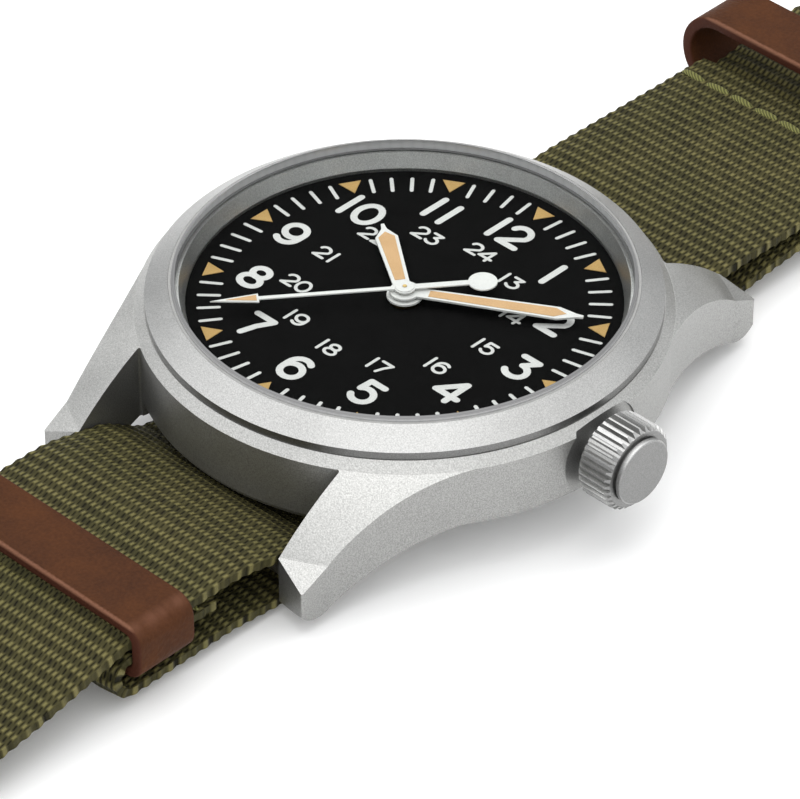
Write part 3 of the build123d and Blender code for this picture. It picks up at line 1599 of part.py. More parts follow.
with BuildPart() as sliding_pinion:
    with BuildSketch(across(sliding_start)):
        Circle(sliding_radius)
    extrude(amount=sliding_end - sliding_start)
    with BuildSketch(across(sliding_groove_start)):
        Circle(sliding_radius + cut_over)
        Circle(sliding_groove_radius, mode=Mode.SUBTRACT)
    extrude(amount=sliding_groove_end - sliding_groove_start, mode=Mode.SUBTRACT)
    with BuildSketch(across(sliding_start)):
        Rectangle(2 * (square_half + close_fit), 2 * (square_half + close_fit))
    extrude(amount=sliding_end - sliding_start, mode=Mode.SUBTRACT)
sliding_pinion.part.label = "sliding_pinion"
export_step(sliding_pinion.part, "parts/sliding_pinion.step")


def lever_plan(pivot, tip, tip_radius):
    """A lever on the plate, tapering from its boss to its tip."""
    return hulled(level(lever_bottom), (pivot, lever_boss), (tip, 2 * tip_radius))


with BuildPart() as setting_lever:
    extrude(lever_plan(lever_centre, lever_pin, lever_pin_radius), amount=lever_thickness)
    with BuildSketch(level(stem_height - groove_radius)):
        with Locations(lever_pin):
            Circle(lever_pin_radius)
    extrude(amount=lever_bottom - stem_height + groove_radius)
    with BuildSketch(level(plate_top - pin_depth + close_fit)):
        with Locations(lever_centre):
            Circle(pin_radius)
    extrude(amount=pin_depth + running)
setting_lever.part.label = "setting_lever"
export_step(setting_lever.part, "parts/setting_lever.step")

with BuildPart() as yoke:
    extrude(lever_plan(yoke_centre, yoke_peg, yoke_peg_radius), amount=lever_thickness)
    with BuildSketch(level(stem_height)):
        with Locations(yoke_peg):
            Circle(yoke_peg_radius)
    extrude(amount=lever_bottom - stem_height)
    with BuildSketch(level(plate_top - pin_depth + close_fit)):
        with Locations(yoke_centre):
            Circle(pin_radius)
    extrude(amount=pin_depth + running)
yoke.part.label = "yoke"
export_step(yoke.part, "parts/yoke.step")

with BuildPart() as setting_spring:
    cover = hulled(
        level(cover_bottom), (yoke_centre, pin_radius), (lever_centre, pin_radius), (spring_post, lever_boss)
    )
    extrude(cover, amount=spring_thickness)
    with BuildSketch(level(plate_top)):
        with Locations(spring_post):
            Circle(screw_head_radius)
    extrude(amount=cover_bottom - plate_top)
    with BuildSketch(level(plate_top - plate_thickness / 2)):
        with Locations(spring_post):
            Circle(screw_radius)
    extrude(amount=plate_thickness / 2)
setting_spring.part.label = "setting_spring"
export_step(setting_spring.part, "parts/setting_spring.step")

# Spring bars: a tube each, with a sprung tip at each end
bar_radius = 0.75
bar_tube_wall = 0.15
bar_crimp_width = 0.2
bar_tip_radius = 0.4
bar_tip_reach = 1.0
bar_end_play = 0.15
plunger_radius = 0.55
plunger_inset = 1.8
plunger_length = 1.4
bar_end = inner_half - bar_end_play
plunger_start = inner_half - plunger_inset
plunger_end = plunger_start + plunger_length
with BuildPart() as spring_bar_tubes:
    for side in (1, -1):
        bar_section = Plane(origin=(0, side * bar_reach, bar_height), x_dir=(1, 0, 0), z_dir=(0, -1, 0))
        revolve(
            section(
                bar_section,
                (-bar_end, bar_radius),
                (bar_end, bar_radius),
                (bar_end, bar_tip_radius + running),
                (bar_end - bar_crimp_width, bar_tip_radius + running),
                (bar_end - bar_crimp_width, bar_radius - bar_tube_wall),
                (bar_crimp_width - bar_end, bar_radius - bar_tube_wall),
                (bar_crimp_width - bar_end, bar_tip_radius + running),
                (-bar_end, bar_tip_radius + running),
            ),
            axis=Axis((0, side * bar_reach, bar_height), (1, 0, 0)),
        )
spring_bar_tubes.part.label = "spring_bar_tubes"
export_step(spring_bar_tubes.part, "parts/spring_bar_tubes.step")

for end_name, end_side in (("12", 1), ("6", -1)):
    for side_name, side in (("crown", 1), ("left", -1)):
        with BuildPart() as bar_tip:
            tip_plane = Plane(
                origin=(side * plunger_start, end_side * bar_reach, bar_height),
                x_dir=(0, 1, 0),
                z_dir=(side, 0, 0),
            )
            with BuildSketch(tip_plane):
                Circle(plunger_radius)
            extrude(amount=plunger_end - plunger_start)
            with BuildSketch(tip_plane):
                Circle(bar_tip_radius)
            extrude(amount=inner_half + bar_tip_reach - plunger_start)
        bar_tip.part.label = f"bar_tip_{end_name}_{side_name}"
        export_step(bar_tip.part, f"parts/bar_tip_{end_name}_{side_name}.step")

# Strap routes: centre lines of the two webbing layers, from the tail and from the fold
keeper_wall = 0.9
bar_ease = 0.125
bar_to_rise = 4.456
bar_to_crest = 0.415
bar_to_near_crest = 0.577
near_crest_drop = 0.101
bar_to_tail = 168.8
tail_length = bar_reach + bar_to_tail
bar_to_tail_lift = 44.8
tail_lift_reach = bar_reach + bar_to_tail_lift
tail_knee_shares = (0.27, 0.672)
bar_to_tail_crest = 4.8
tail_crest_end = bar_reach + bar_to_tail_crest
bar_to_far_bow = 4.8
far_bow_reach = bar_reach + bar_to_far_bow
far_bow = 0.1
bar_to_far_sag = 16.8
far_sag_reach = bar_reach + bar_to_far_sag
far_sag = 0.2
bar_to_join = 22.0
strap_join = bar_reach + bar_to_join
join_sag = 0.25
bar_to_fold = 15.1
fold_slack = 0.3
fold_reach = bar_reach + bar_to_fold
fold_rise = 0.825
bar_to_fold_end = 7.3
fold_end = bar_reach + bar_to_fold_end
bar_to_under_near = 5.8
under_near_reach = bar_reach + bar_to_under_near
under_rise_to_bar = 1.6
under_rise_reach = bar_reach - under_rise_to_bar
bar_to_under_knee = 5.8
under_knee_reach = bar_reach + bar_to_under_knee
under_knee_share = 0.663
bar_to_under_join = 18.8
under_join_reach = bar_reach + bar_to_under_join
bar_to_under_keeper = 23.3
under_keeper_reach = bar_reach + bar_to_under_keeper
bar_to_under_crest = 29.8
under_crest_reach = bar_reach + bar_to_under_crest
under_crest_rise = 0.7
under_bow_rise = 0.6
bow_to_buckle = 12.0
return_to_buckle = 6.0
return_end_to_buckle = 11.0
return_rise = 1.0
bar_to_buckle = 56.8
buckle_reach = bar_reach + bar_to_buckle
buckle_lift = 0.2
buckle_bar_radius = 0.8
foot_bend = 3.0
sharp_bend = 8.0
close_bend = 10.0
easy_bend = 12.0
wide_bend = 20.0
long_bend = 30.0
lift_bend = 40.0
floor_line = strap_thickness / 2
upper_line = floor_line + strap_thickness + layer_gap
bar_bend = bar_radius + bar_ease + strap_thickness / 2
bar_line = bar_height + bar_bend
case_clear = bar_reach - bar_to_rise
bar_crest = bar_reach - bar_to_crest
near_crest = bar_reach - bar_to_near_crest
fold_radius = (strap_thickness + keeper_wall) / 2 + air + fold_slack
fold_low = floor_line + fold_rise
fold_high = fold_low + 2 * fold_radius
fold_bend = fold_radius - close_fit
crest_line = fold_high + strap_thickness + 2 * layer_gap
under_join_line = bar_line - far_sag - strap_thickness - 2 * layer_gap
wrap_radius = buckle_bar_radius + running + strap_thickness / 2
wrap_bend = wrap_radius - close_fit
buckle_height = wrap_radius + strap_thickness / 2 + buckle_lift
tail_knee = (
    -fold_reach - tail_knee_shares[0] * (tail_lift_reach - fold_reach),
    floor_line + tail_knee_shares[1] * (crest_line - floor_line),
)
main_route = route(
    [
        (-tail_length, floor_line),
        (-tail_lift_reach, floor_line),
        tail_knee,
        (-fold_reach, crest_line),
        (-tail_crest_end, crest_line),
        (-near_crest, bar_line - near_crest_drop),
        (-case_clear, upper_line),
        (case_clear, upper_line),
        (bar_crest, bar_line),
        (far_bow_reach, bar_line + far_bow),
        (far_sag_reach, bar_line - far_sag),
        (strap_join, bar_line - join_sag),
    ],
    [
        lift_bend,
        lift_bend,
        easy_bend,
        easy_bend,
        bar_bend,
        foot_bend,
        foot_bend,
        bar_bend,
        easy_bend,
        wide_bend,
    ],
)
under_route = route(
    [
        (-fold_end, fold_high),
        (-fold_reach - fold_radius, fold_high),
        (-fold_reach - fold_radius, fold_low),
        (-under_near_reach, fold_low),
        (-under_rise_reach, floor_line),
        (under_rise_reach, floor_line),
        (under_knee_reach, floor_line + under_knee_share * (under_join_line - floor_line)),
        (under_join_reach, under_join_line),
        (under_keeper_reach, under_join_line + running),
        (under_crest_reach, under_join_line + under_crest_rise),
        (buckle_reach - bow_to_buckle, under_join_line + under_bow_rise),
        (buckle_reach + wrap_radius, buckle_height + wrap_radius),
        (buckle_reach + wrap_radius, buckle_height - wrap_radius),
        (buckle_reach - return_to_buckle, buckle_height - wrap_radius),
        (buckle_reach - return_end_to_buckle, buckle_height - wrap_radius + return_rise),
    ],
    [
        fold_bend,
        fold_bend,
        easy_bend,
        close_bend,
        close_bend,
        wide_bend,
        long_bend,
        wide_bend,
        wide_bend,
        long_bend,
        wrap_bend,
        wrap_bend,
        sharp_bend,
    ],
)
hole_radius = 0.8
hole_count = 9
hole_spacing = 8.5
bar_to_first_hole = 76.8
hole_first = bar_reach + bar_to_first_hole
tail_point_length = 7.0
tail_point_half = 2.5
tongue_half = 1.1
tongue_slot_half = 1.4
tongue_slot_length = 4.5
tongue_slot_start = buckle_reach - tongue_slot_length
with BuildPart() as main_strap:
    with BuildSketch(start_of(main_route)):
        Rectangle(strap_width, strap_thickness)
    sweep(path=main_route)
    with BuildSketch():
        for spot in range(hole_count):
            with Locations((0, -hole_first - spot * hole_spacing)):
                Circle(hole_radius)
    extrude(amount=strap_thickness, mode=Mode.SUBTRACT)
    for side in (1, -1):
        corner = section(
            Plane.XY.offset(-cut_over),
            (side * tail_point_half, -tail_length - cut_over),
            (side * tail_point_half, -tail_length),
            (side * strap_width / 2, tail_point_length - tail_length),
            (side * (strap_width / 2 + cut_over), tail_point_length - tail_length),
            (side * (strap_width / 2 + cut_over), -tail_length - cut_over),
        )
        extrude(corner, amount=strap_thickness + 2 * cut_over, mode=Mode.SUBTRACT)
main_strap.part.label = "main_strap"
export_step(main_strap.part, "parts/main_strap.step")

with BuildPart() as under_strap:
    with BuildSketch(start_of(under_route)):
        Rectangle(strap_width, strap_thickness)
    sweep(path=under_route)
    with BuildSketch():
        with Locations((0, (tongue_slot_start + buckle_reach + 2 * wrap_radius) / 2)):
            Rectangle(2 * tongue_slot_half, buckle_reach + 2 * wrap_radius - tongue_slot_start)
    extrude(amount=buckle_height + 2 * wrap_radius, mode=Mode.SUBTRACT)
under_strap.part.label = "under_strap"
export_step(under_strap.part, "parts/under_strap.step")

# Leather keepers: a flat loop at 6 o'clock and a tall round-ended one at 12 o'clock
keeper_length = 5.2
keeper_to_fold = 0.1
keeper_ease = 0.125
near_keeper_round = 1.2
bar_to_far_keeper = 22.3
far_keeper_start = bar_reach + bar_to_far_keeper
far_keeper_slack = 1.5
far_keeper_ease = 0.175
far_keeper_height = 6.9
near_keeper_end = fold_reach - keeper_to_fold
near_keeper_half = strap_width / 2 + keeper_wall + air
near_keeper_low = fold_low + strap_thickness / 2 + air + 2 * fold_slack
near_keeper_high = crest_line + strap_thickness / 2 + keeper_ease + keeper_wall
far_keeper_half = strap_width / 2 + keeper_wall + far_keeper_slack
far_keeper_low = under_join_line + running - strap_thickness / 2 - keeper_wall - far_keeper_ease
far_keeper_high = far_keeper_low + far_keeper_height


def keeper_loop(start, half_width, low, high, corner):
    """The section across the strap of a keeper loop."""
    with BuildSketch(Plane(origin=(0, start, 0), x_dir=(1, 0, 0), z_dir=(0, -1, 0))) as loop:
        with Locations((0, (low + high) / 2)):
            RectangleRounded(2 * half_width, high - low, corner)
            RectangleRounded(
                2 * (half_width - keeper_wall),
                high - low - 2 * keeper_wall,
                corner - keeper_wall,
                mode=Mode.SUBTRACT,
            )
    return loop.sketch


with BuildPart() as keeper_6:
    loop = keeper_loop(
        -near_keeper_end, near_keeper_half, near_keeper_low, near_keeper_high, near_keeper_round
    )
    extrude(loop, amount=-keeper_length)
keeper_6.part.label = "keeper_6"
export_step(keeper_6.part, "parts/keeper_6.step")

with BuildPart() as keeper_12:
    end_round = (far_keeper_high - far_keeper_low) / 2 - close_fit
    loop = keeper_loop(far_keeper_start, far_keeper_half, far_keeper_low, far_keeper_high, end_round)
    extrude(loop, amount=-keeper_length)
keeper_12.part.label = "keeper_12"
export_step(keeper_12.part, "parts/keeper_12.step")

# Buckle: a rounded frame with its bar, and a tongue
buckle_side_play = 0.3
frame_width = 2.0
frame_height = 1.8
frame_back = 1.3
frame_length = 14.5
frame_round = 2.2
tongue_inner = buckle_bar_radius + running
tongue_outer = 1.5
tongue_thickness = 0.8
frame_half = strap_width / 2 + buckle_side_play + frame_width
tongue_lift = frame_height / 2 + running
frame_plane = Plane.XY.offset(buckle_height - frame_height / 2)
frame_middle = buckle_reach + (frame_length - frame_back) / 2
with BuildPart() as buckle_frame:
    with BuildSketch(frame_plane):
        with Locations((0, frame_middle)):
            RectangleRounded(2 * frame_half, frame_length + frame_back, frame_round)
        with Locations((0, buckle_reach - frame_back)):
            Rectangle(
                2 * (frame_half - frame_width),
                frame_length + frame_back - frame_width,
                align=(Align.CENTER, Align.MIN),
                mode=Mode.SUBTRACT,
            )
    extrude(amount=frame_height)
    bar_plane = Plane(origin=(frame_width / 2 - frame_half, buckle_reach, buckle_height), z_dir=(1, 0, 0))
    with BuildSketch(bar_plane):
        Circle(buckle_bar_radius)
    extrude(amount=2 * frame_half - frame_width)
buckle_frame.part.label = "buckle_frame"
export_step(buckle_frame.part, "parts/buckle_frame.step")

with BuildPart() as buckle_tongue:
    tongue_plane = Plane(origin=(-tongue_half, buckle_reach, buckle_height), x_dir=(0, 1, 0), z_dir=(1, 0, 0))
    with BuildSketch(tongue_plane):
        Circle(tongue_outer)
        with Locations((0, tongue_lift)):
            Rectangle(frame_length, tongue_thickness, align=(Align.MIN, Align.MIN))
        Circle(tongue_inner, mode=Mode.SUBTRACT)
    extrude(amount=2 * tongue_half)
buckle_tongue.part.label = "buckle_tongue"
export_step(buckle_tongue.part, "parts/buckle_tongue.step")
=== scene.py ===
import bpy
import math
from mathutils import Matrix, Vector


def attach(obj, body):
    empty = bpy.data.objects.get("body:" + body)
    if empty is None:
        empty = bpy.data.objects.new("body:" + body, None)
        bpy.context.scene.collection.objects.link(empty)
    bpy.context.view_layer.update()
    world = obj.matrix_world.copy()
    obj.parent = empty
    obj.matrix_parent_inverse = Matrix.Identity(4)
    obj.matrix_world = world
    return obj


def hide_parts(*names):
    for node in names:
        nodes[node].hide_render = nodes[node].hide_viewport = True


# Field watch lying on its two-layer strap, dial up. Sizes below are in millimetres.
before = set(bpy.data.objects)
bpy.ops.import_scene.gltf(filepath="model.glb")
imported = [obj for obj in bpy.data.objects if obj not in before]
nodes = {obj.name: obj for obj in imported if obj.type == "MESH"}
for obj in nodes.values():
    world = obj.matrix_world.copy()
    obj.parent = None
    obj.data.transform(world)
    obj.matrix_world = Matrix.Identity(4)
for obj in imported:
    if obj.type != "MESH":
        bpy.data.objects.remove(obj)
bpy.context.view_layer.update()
mm = 0.001
weldReach = 0.000002  # vertices nearer than this, in metres, become one
print("frame loaded:", len(nodes), "CAD nodes")


# Small tools

def deselectAll():
    if bpy.context.object and bpy.context.object.mode != "OBJECT":
        bpy.ops.object.mode_set(mode="OBJECT")
    bpy.ops.object.select_all(action="DESELECT")


def pick(piece):
    # make one piece the only selected and active one
    deselectAll()
    piece.select_set(True)
    bpy.context.view_layer.objects.active = piece


def nameIt(name):
    piece = bpy.context.object
    piece.name = name
    piece.data.name = name
    return piece


def applyModifiers(piece):
    pick(piece)
    for modifier in list(piece.modifiers):
        bpy.ops.object.modifier_apply(modifier=modifier.name)


def settle(piece):
    # put the place, turn and size of a piece into its mesh
    pick(piece)
    bpy.ops.object.transform_apply(location=True, rotation=True, scale=True)


def selectVerts(piece, test):
    # in object mode: select the vertices that pass a test, then go to edit mode
    pick(piece)
    bpy.ops.object.mode_set(mode="EDIT")
    bpy.ops.mesh.select_mode(type="VERT")
    bpy.ops.mesh.select_all(action="DESELECT")
    bpy.ops.object.mode_set(mode="OBJECT")
    for vertex in piece.data.vertices:
        vertex.select = bool(test(vertex.co))
    bpy.ops.object.mode_set(mode="EDIT")


def selectEdges(piece, test):
    pick(piece)
    bpy.ops.object.mode_set(mode="EDIT")
    bpy.ops.mesh.select_mode(type="EDGE")
    bpy.ops.mesh.select_all(action="DESELECT")
    bpy.ops.object.mode_set(mode="OBJECT")
    points = piece.data.vertices
    for edge in piece.data.edges:
        edge.select = bool(test(points[edge.vertices[0]].co, points[edge.vertices[1]].co))
    bpy.ops.object.mode_set(mode="EDIT")


def cleanUp(piece):
    # weld doubled vertices and turn all faces outwards
    pick(piece)
    bpy.ops.object.mode_set(mode="EDIT")
    bpy.ops.mesh.select_all(action="SELECT")
    bpy.ops.mesh.remove_doubles(threshold=weldReach)
    bpy.ops.mesh.normals_make_consistent(inside=False)
    bpy.ops.object.mode_set(mode="OBJECT")


def polySpline(data, places, closed=False):
    # one line through places in millimetres
    spline = data.splines.new("POLY")
    spline.points.add(len(places) - 1)
    for point, (x, y, z) in zip(spline.points, places):
        point.co = (x * mm, y * mm, z * mm, 1)
    spline.use_cyclic_u = closed
    return spline


def addToScene(name, data):
    piece = bpy.data.objects.new(name, data)
    bpy.context.scene.collection.objects.link(piece)
    return piece


def meshFromCurve(name, data):
    pick(addToScene(name, data))
    bpy.ops.object.convert(target="MESH")
    return nameIt(name)


def joinPieces(pieces, name):
    deselectAll()
    for piece in pieces:
        piece.select_set(True)
    bpy.context.view_layer.objects.active = pieces[0]
    if len(pieces) > 1:
        bpy.ops.object.join()
    return nameIt(name)


def finishPiece(piece, material, body, smooth=None):
    piece.data.materials.clear()
    piece.data.materials.append(material)
    if smooth is not None:
        pick(piece)
        bpy.ops.object.shade_smooth_by_angle(angle=math.radians(smooth))
    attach(piece, body)
    return piece


# Material tools

def startMaterial(name, colour, rough, metal=0.0):
    material = bpy.data.materials.new(name)
    material.use_nodes = True
    tree = material.node_tree
    shader = tree.nodes["Principled BSDF"]
    shader.inputs["Base Color"].default_value = (*colour, 1)
    shader.inputs["Roughness"].default_value = rough
    shader.inputs["Metallic"].default_value = metal
    return material, tree, shader


def addNode(tree, kind, inputs=None, **settings):
    node = tree.nodes.new(kind)
    for key, value in settings.items():
        setattr(node, key, value)
    for key, value in (inputs or {}).items():
        if isinstance(value, bpy.types.NodeSocket):
            tree.links.new(value, node.inputs[key])
        else:
            node.inputs[key].default_value = value
    return node


def calc(tree, operation, first, second=0.0, third=0.0):
    return addNode(tree, "ShaderNodeMath", {0: first, 1: second, 2: third}, operation=operation).outputs[0]


def pointInMm(tree):
    # object coordinates, in millimetres
    where = addNode(tree, "ShaderNodeTexCoord").outputs["Object"]
    return addNode(tree, "ShaderNodeVectorMath", {0: where, "Scale": 1000.0}, operation="SCALE").outputs[0]


def fromAxis(tree, point):
    # distance from the upright axis of the watch
    flat = addNode(tree, "ShaderNodeVectorMath", {0: point, 1: (1, 1, 0)}, operation="MULTIPLY").outputs[0]
    return addNode(tree, "ShaderNodeVectorMath", {0: flat}, operation="LENGTH").outputs["Value"]


def riseOf(tree):
    # 1 on faces that look straight up or down, 0 on upright walls
    normal = addNode(tree, "ShaderNodeNewGeometry").outputs["Normal"]
    return calc(tree, "ABSOLUTE", addNode(tree, "ShaderNodeSeparateXYZ", {0: normal}).outputs[2])


def noiseOf(tree, point, size, detail=2.0):
    # noise with features of about that size in millimetres
    inputs = {"Vector": point, "Scale": 1 / size, "Detail": detail}
    return addNode(tree, "ShaderNodeTexNoise", inputs).outputs[0]


def rampOf(tree, factor, stops):
    ramp = addNode(tree, "ShaderNodeValToRGB", {"Fac": factor})
    elements = ramp.color_ramp.elements
    while len(elements) < len(stops):
        elements.new(0.5)
    for element, (place, colour) in zip(elements, stops):
        element.position = place
        element.color = (*colour, 1)
    return ramp.outputs["Color"]


def rangeOf(tree, value, low, high, fromLow=0.0, fromHigh=1.0):
    return addNode(
        tree, "ShaderNodeMapRange",
        {"Value": value, "From Min": fromLow, "From Max": fromHigh, "To Min": low, "To Max": high},
    ).outputs[0]


def tint(tree, factor, first, second, mode="MIX"):
    return addNode(
        tree, "ShaderNodeMix", {"Factor": factor, 6: first, 7: second}, data_type="RGBA", blend_type=mode
    ).outputs[2]


def bumpOn(tree, shader, height, strength, distance):
    # distance in millimetres
    inputs = {"Height": height, "Strength": strength, "Distance": distance * mm}
    bump = addNode(tree, "ShaderNodeBump", inputs)
    tree.links.new(bump.outputs[0], shader.inputs["Normal"])


def roughOn(tree, shader, factor, rough, swing):
    # roughness that drifts a little to either side
    drift = rangeOf(tree, factor, rough - swing, rough + swing, 0.3, 0.7)
    tree.links.new(drift, shader.inputs["Roughness"])


# Steel: blasted, satin, turned or polished.
# "side" is painted shade: it darkens the colour of the upright walls, from the rise "upright" to "level";
# "inside" is the radius within which every face is instead painted lighter, by the share "insideShare".
steelUsual = {"metal": 1.0, "cloud": 4.0, "speckle": 0.5, "spread": (0.25, 0.75), "swing": 0.05,
              "turned": None, "stripe": None, "side": None, "inside": None,
              "upright": 0.15, "level": 0.6, "insideShare": 1.2}


def steelFinish(name, look):
    look = {**steelUsual, **look}
    material, tree, shader = startMaterial(name, look["light"], look["rough"], look["metal"])
    point = grainPoint = pointInMm(tree)
    if look["turned"]:
        parts = addNode(tree, "ShaderNodeSeparateXYZ", {0: point}).outputs
        turn = calc(tree, "MULTIPLY", calc(tree, "ARCTAN2", parts[1], parts[0]), look["turned"])
        inputs = {0: fromAxis(tree, point), 1: turn, 2: parts[2]}
        grainPoint = addNode(tree, "ShaderNodeCombineXYZ", inputs).outputs[0]
    grain = noiseOf(tree, grainPoint, look["grain"], 3.0)
    broad = noiseOf(tree, point, look["cloud"], 3.0)
    cloudy = calc(tree, "MULTIPLY", broad, 1 - look["speckle"])
    mixed = calc(tree, "MULTIPLY_ADD", grain, look["speckle"], cloudy)
    low, high = look["spread"]
    colour = rampOf(tree, mixed, [(low, look["dark"]), (high, look["light"])])
    # painted shade on the upright walls, and painted light within "inside"
    if look["side"]:
        paintedWallShade = rangeOf(tree, riseOf(tree), look["side"], 1.0, look["upright"], look["level"])
        if look["inside"]:
            within = calc(tree, "LESS_THAN", fromAxis(tree, point), look["inside"])
            paintedWallShade = calc(tree, "MAXIMUM", paintedWallShade, calc(tree, "MULTIPLY", within, look["insideShare"]))
        grey = addNode(tree, "ShaderNodeCombineXYZ", {0: paintedWallShade, 1: paintedWallShade, 2: paintedWallShade}).outputs[0]
        colour = tint(tree, 1.0, colour, grey, "MULTIPLY")
    tree.links.new(colour, shader.inputs["Base Color"])
    roughOn(tree, shader, broad, look["rough"], look["swing"])
    height = grain
    if look["stripe"]:
        wave = addNode(
            tree, "ShaderNodeTexWave",
            {"Vector": point, "Scale": 1 / look["stripe"], "Distortion": 0.3},
            wave_profile="SAW", bands_direction="DIAGONAL",
        ).outputs["Fac"]
        height = calc(tree, "MULTIPLY_ADD", wave, 2.0, grain)
    bumpOn(tree, shader, height, look["bump"], look["depth"])
    return material


steelLooks = {
    "blasted": {"light": (0.57, 0.57, 0.555), "dark": (0.35, 0.35, 0.34), "rough": 0.42, "grain": 0.1,
                "bump": 0.7, "depth": 0.016, "cloud": 5.0, "speckle": 0.85, "spread": (0.34, 0.66),
                "side": 0.74, "metal": 0.88},
    "crown": {"light": (0.6, 0.6, 0.59), "dark": (0.42, 0.42, 0.415), "rough": 0.36, "grain": 0.085,
              "bump": 0.6, "depth": 0.012, "cloud": 3.0, "speckle": 0.8, "spread": (0.34, 0.66),
              "side": 0.48},
    "bezel": {"light": (0.53, 0.53, 0.52), "dark": (0.34, 0.34, 0.335), "rough": 0.38, "grain": 0.09,
              "bump": 0.55, "depth": 0.012, "speckle": 0.8, "spread": (0.34, 0.66), "side": 0.46,
              "inside": 16.8},
    "turned": {"light": (0.62, 0.62, 0.61), "dark": (0.5, 0.5, 0.49), "rough": 0.32, "grain": 0.12,
               "bump": 0.5, "depth": 0.01, "turned": 0.4},
    "satin": {"light": (0.6, 0.6, 0.59), "dark": (0.45, 0.45, 0.44), "rough": 0.3, "grain": 0.1,
              "bump": 0.35, "depth": 0.006},
    "polished": {"light": (0.58, 0.58, 0.6), "dark": (0.46, 0.46, 0.48), "rough": 0.18, "grain": 0.3,
                 "bump": 0.15, "depth": 0.003},
    "nickel": {"light": (0.72, 0.7, 0.66), "dark": (0.58, 0.56, 0.52), "rough": 0.27, "grain": 0.1,
               "bump": 0.5, "depth": 0.012, "stripe": 5.0},
    "brass": {"light": (0.8, 0.6, 0.27), "dark": (0.62, 0.44, 0.17), "rough": 0.25, "grain": 0.08,
              "bump": 0.35, "depth": 0.006, "turned": 0.5},
    "gilt": {"light": (0.85, 0.66, 0.33), "dark": (0.7, 0.5, 0.22), "rough": 0.16, "grain": 0.2,
             "bump": 0.15, "depth": 0.003},
    "blued": {"light": (0.05, 0.09, 0.28), "dark": (0.02, 0.04, 0.14), "rough": 0.2, "grain": 0.2,
              "bump": 0.15, "depth": 0.003},
}
steels = {name: steelFinish(name + "Steel", look) for name, look in steelLooks.items()}


# Paint, glass, rubber, jewels

paintUsual = {"cloud": 2.0, "speckle": 0.6, "swing": 0.06, "shine": 0.5}


def paintFinish(name, look):
    look = {**paintUsual, **look}
    material, tree, shader = startMaterial(name, look["light"], look["rough"])
    point = pointInMm(tree)
    grain = noiseOf(tree, point, look["grain"], 3.0)
    broad = noiseOf(tree, point, look["cloud"])
    cloudy = calc(tree, "MULTIPLY", broad, 1 - look["speckle"])
    mixed = calc(tree, "MULTIPLY_ADD", grain, look["speckle"], cloudy)
    colour = rampOf(tree, mixed, [(0.3, look["dark"]), (0.7, look["light"])])
    tree.links.new(colour, shader.inputs["Base Color"])
    roughOn(tree, shader, broad, look["rough"], look["swing"])
    shader.inputs["Specular IOR Level"].default_value = look["shine"]
    bumpOn(tree, shader, grain, look["bump"], look["depth"])
    return material


paintLooks = {
    "dialBlack": {"light": (0.0065, 0.0065, 0.0065), "dark": (0.0038, 0.0038, 0.0038), "rough": 0.7,
                  "grain": 0.07, "bump": 0.3, "depth": 0.006, "shine": 0.01},
    "printWhite": {"light": (0.6, 0.6, 0.59), "dark": (0.47, 0.47, 0.46), "rough": 0.6, "grain": 0.1,
                   "bump": 0.4, "depth": 0.006, "shine": 0.2},
    "handWhite": {"light": (0.68, 0.68, 0.66), "dark": (0.58, 0.58, 0.57), "rough": 0.4, "grain": 0.15,
                  "bump": 0.15, "depth": 0.004, "shine": 0.3},
    "lumeTan": {"light": (0.47, 0.31, 0.125), "dark": (0.37, 0.23, 0.08), "rough": 0.8, "grain": 0.09,
                "bump": 0.5, "depth": 0.015, "shine": 0.15},
    "lumePale": {"light": (0.58, 0.375, 0.205), "dark": (0.49, 0.305, 0.15), "rough": 0.8, "grain": 0.09,
                 "bump": 0.5, "depth": 0.015, "shine": 0.15},
    "rubber": {"light": (0.03, 0.03, 0.03), "dark": (0.018, 0.018, 0.018), "rough": 0.7, "grain": 0.1,
               "bump": 0.3, "depth": 0.008},
    "gasket": {"light": (0.36, 0.36, 0.35), "dark": (0.24, 0.24, 0.235), "rough": 0.45, "grain": 0.12,
               "bump": 0.3, "depth": 0.008},
    "movementRing": {"light": (0.74, 0.74, 0.71), "dark": (0.62, 0.62, 0.59), "rough": 0.5, "grain": 0.2,
                     "bump": 0.3, "depth": 0.01},
    "jewelRed": {"light": (0.6, 0.02, 0.09), "dark": (0.4, 0.01, 0.05), "rough": 0.12, "grain": 0.2,
                 "bump": 0.05, "depth": 0.002, "shine": 0.8},
}
paints = {name: paintFinish(name, look) for name, look in paintLooks.items()}

# Crystal: clear when seen square on, glossy at a glancing angle from "glance" on.
# Its bevelled rim, from "rimStart" outwards, is ground and has fine turned lines.
# Its level faces are painted darker, down to the share "bevel": painted shade.
glassLook = {"tone": (0.985, 0.992, 0.988), "rough": 0.03, "smear": 6.0, "glance": 0.6, "edge": 0.2,
             "rimStart": 16.34, "rimLine": 0.07, "rimLight": (0.8, 0.8, 0.8), "rimDark": (0.4, 0.4, 0.405),
             "rimRough": 0.35, "rimMetal": 0.2, "bevel": 0.3, "upright": 0.1, "level": 0.35}


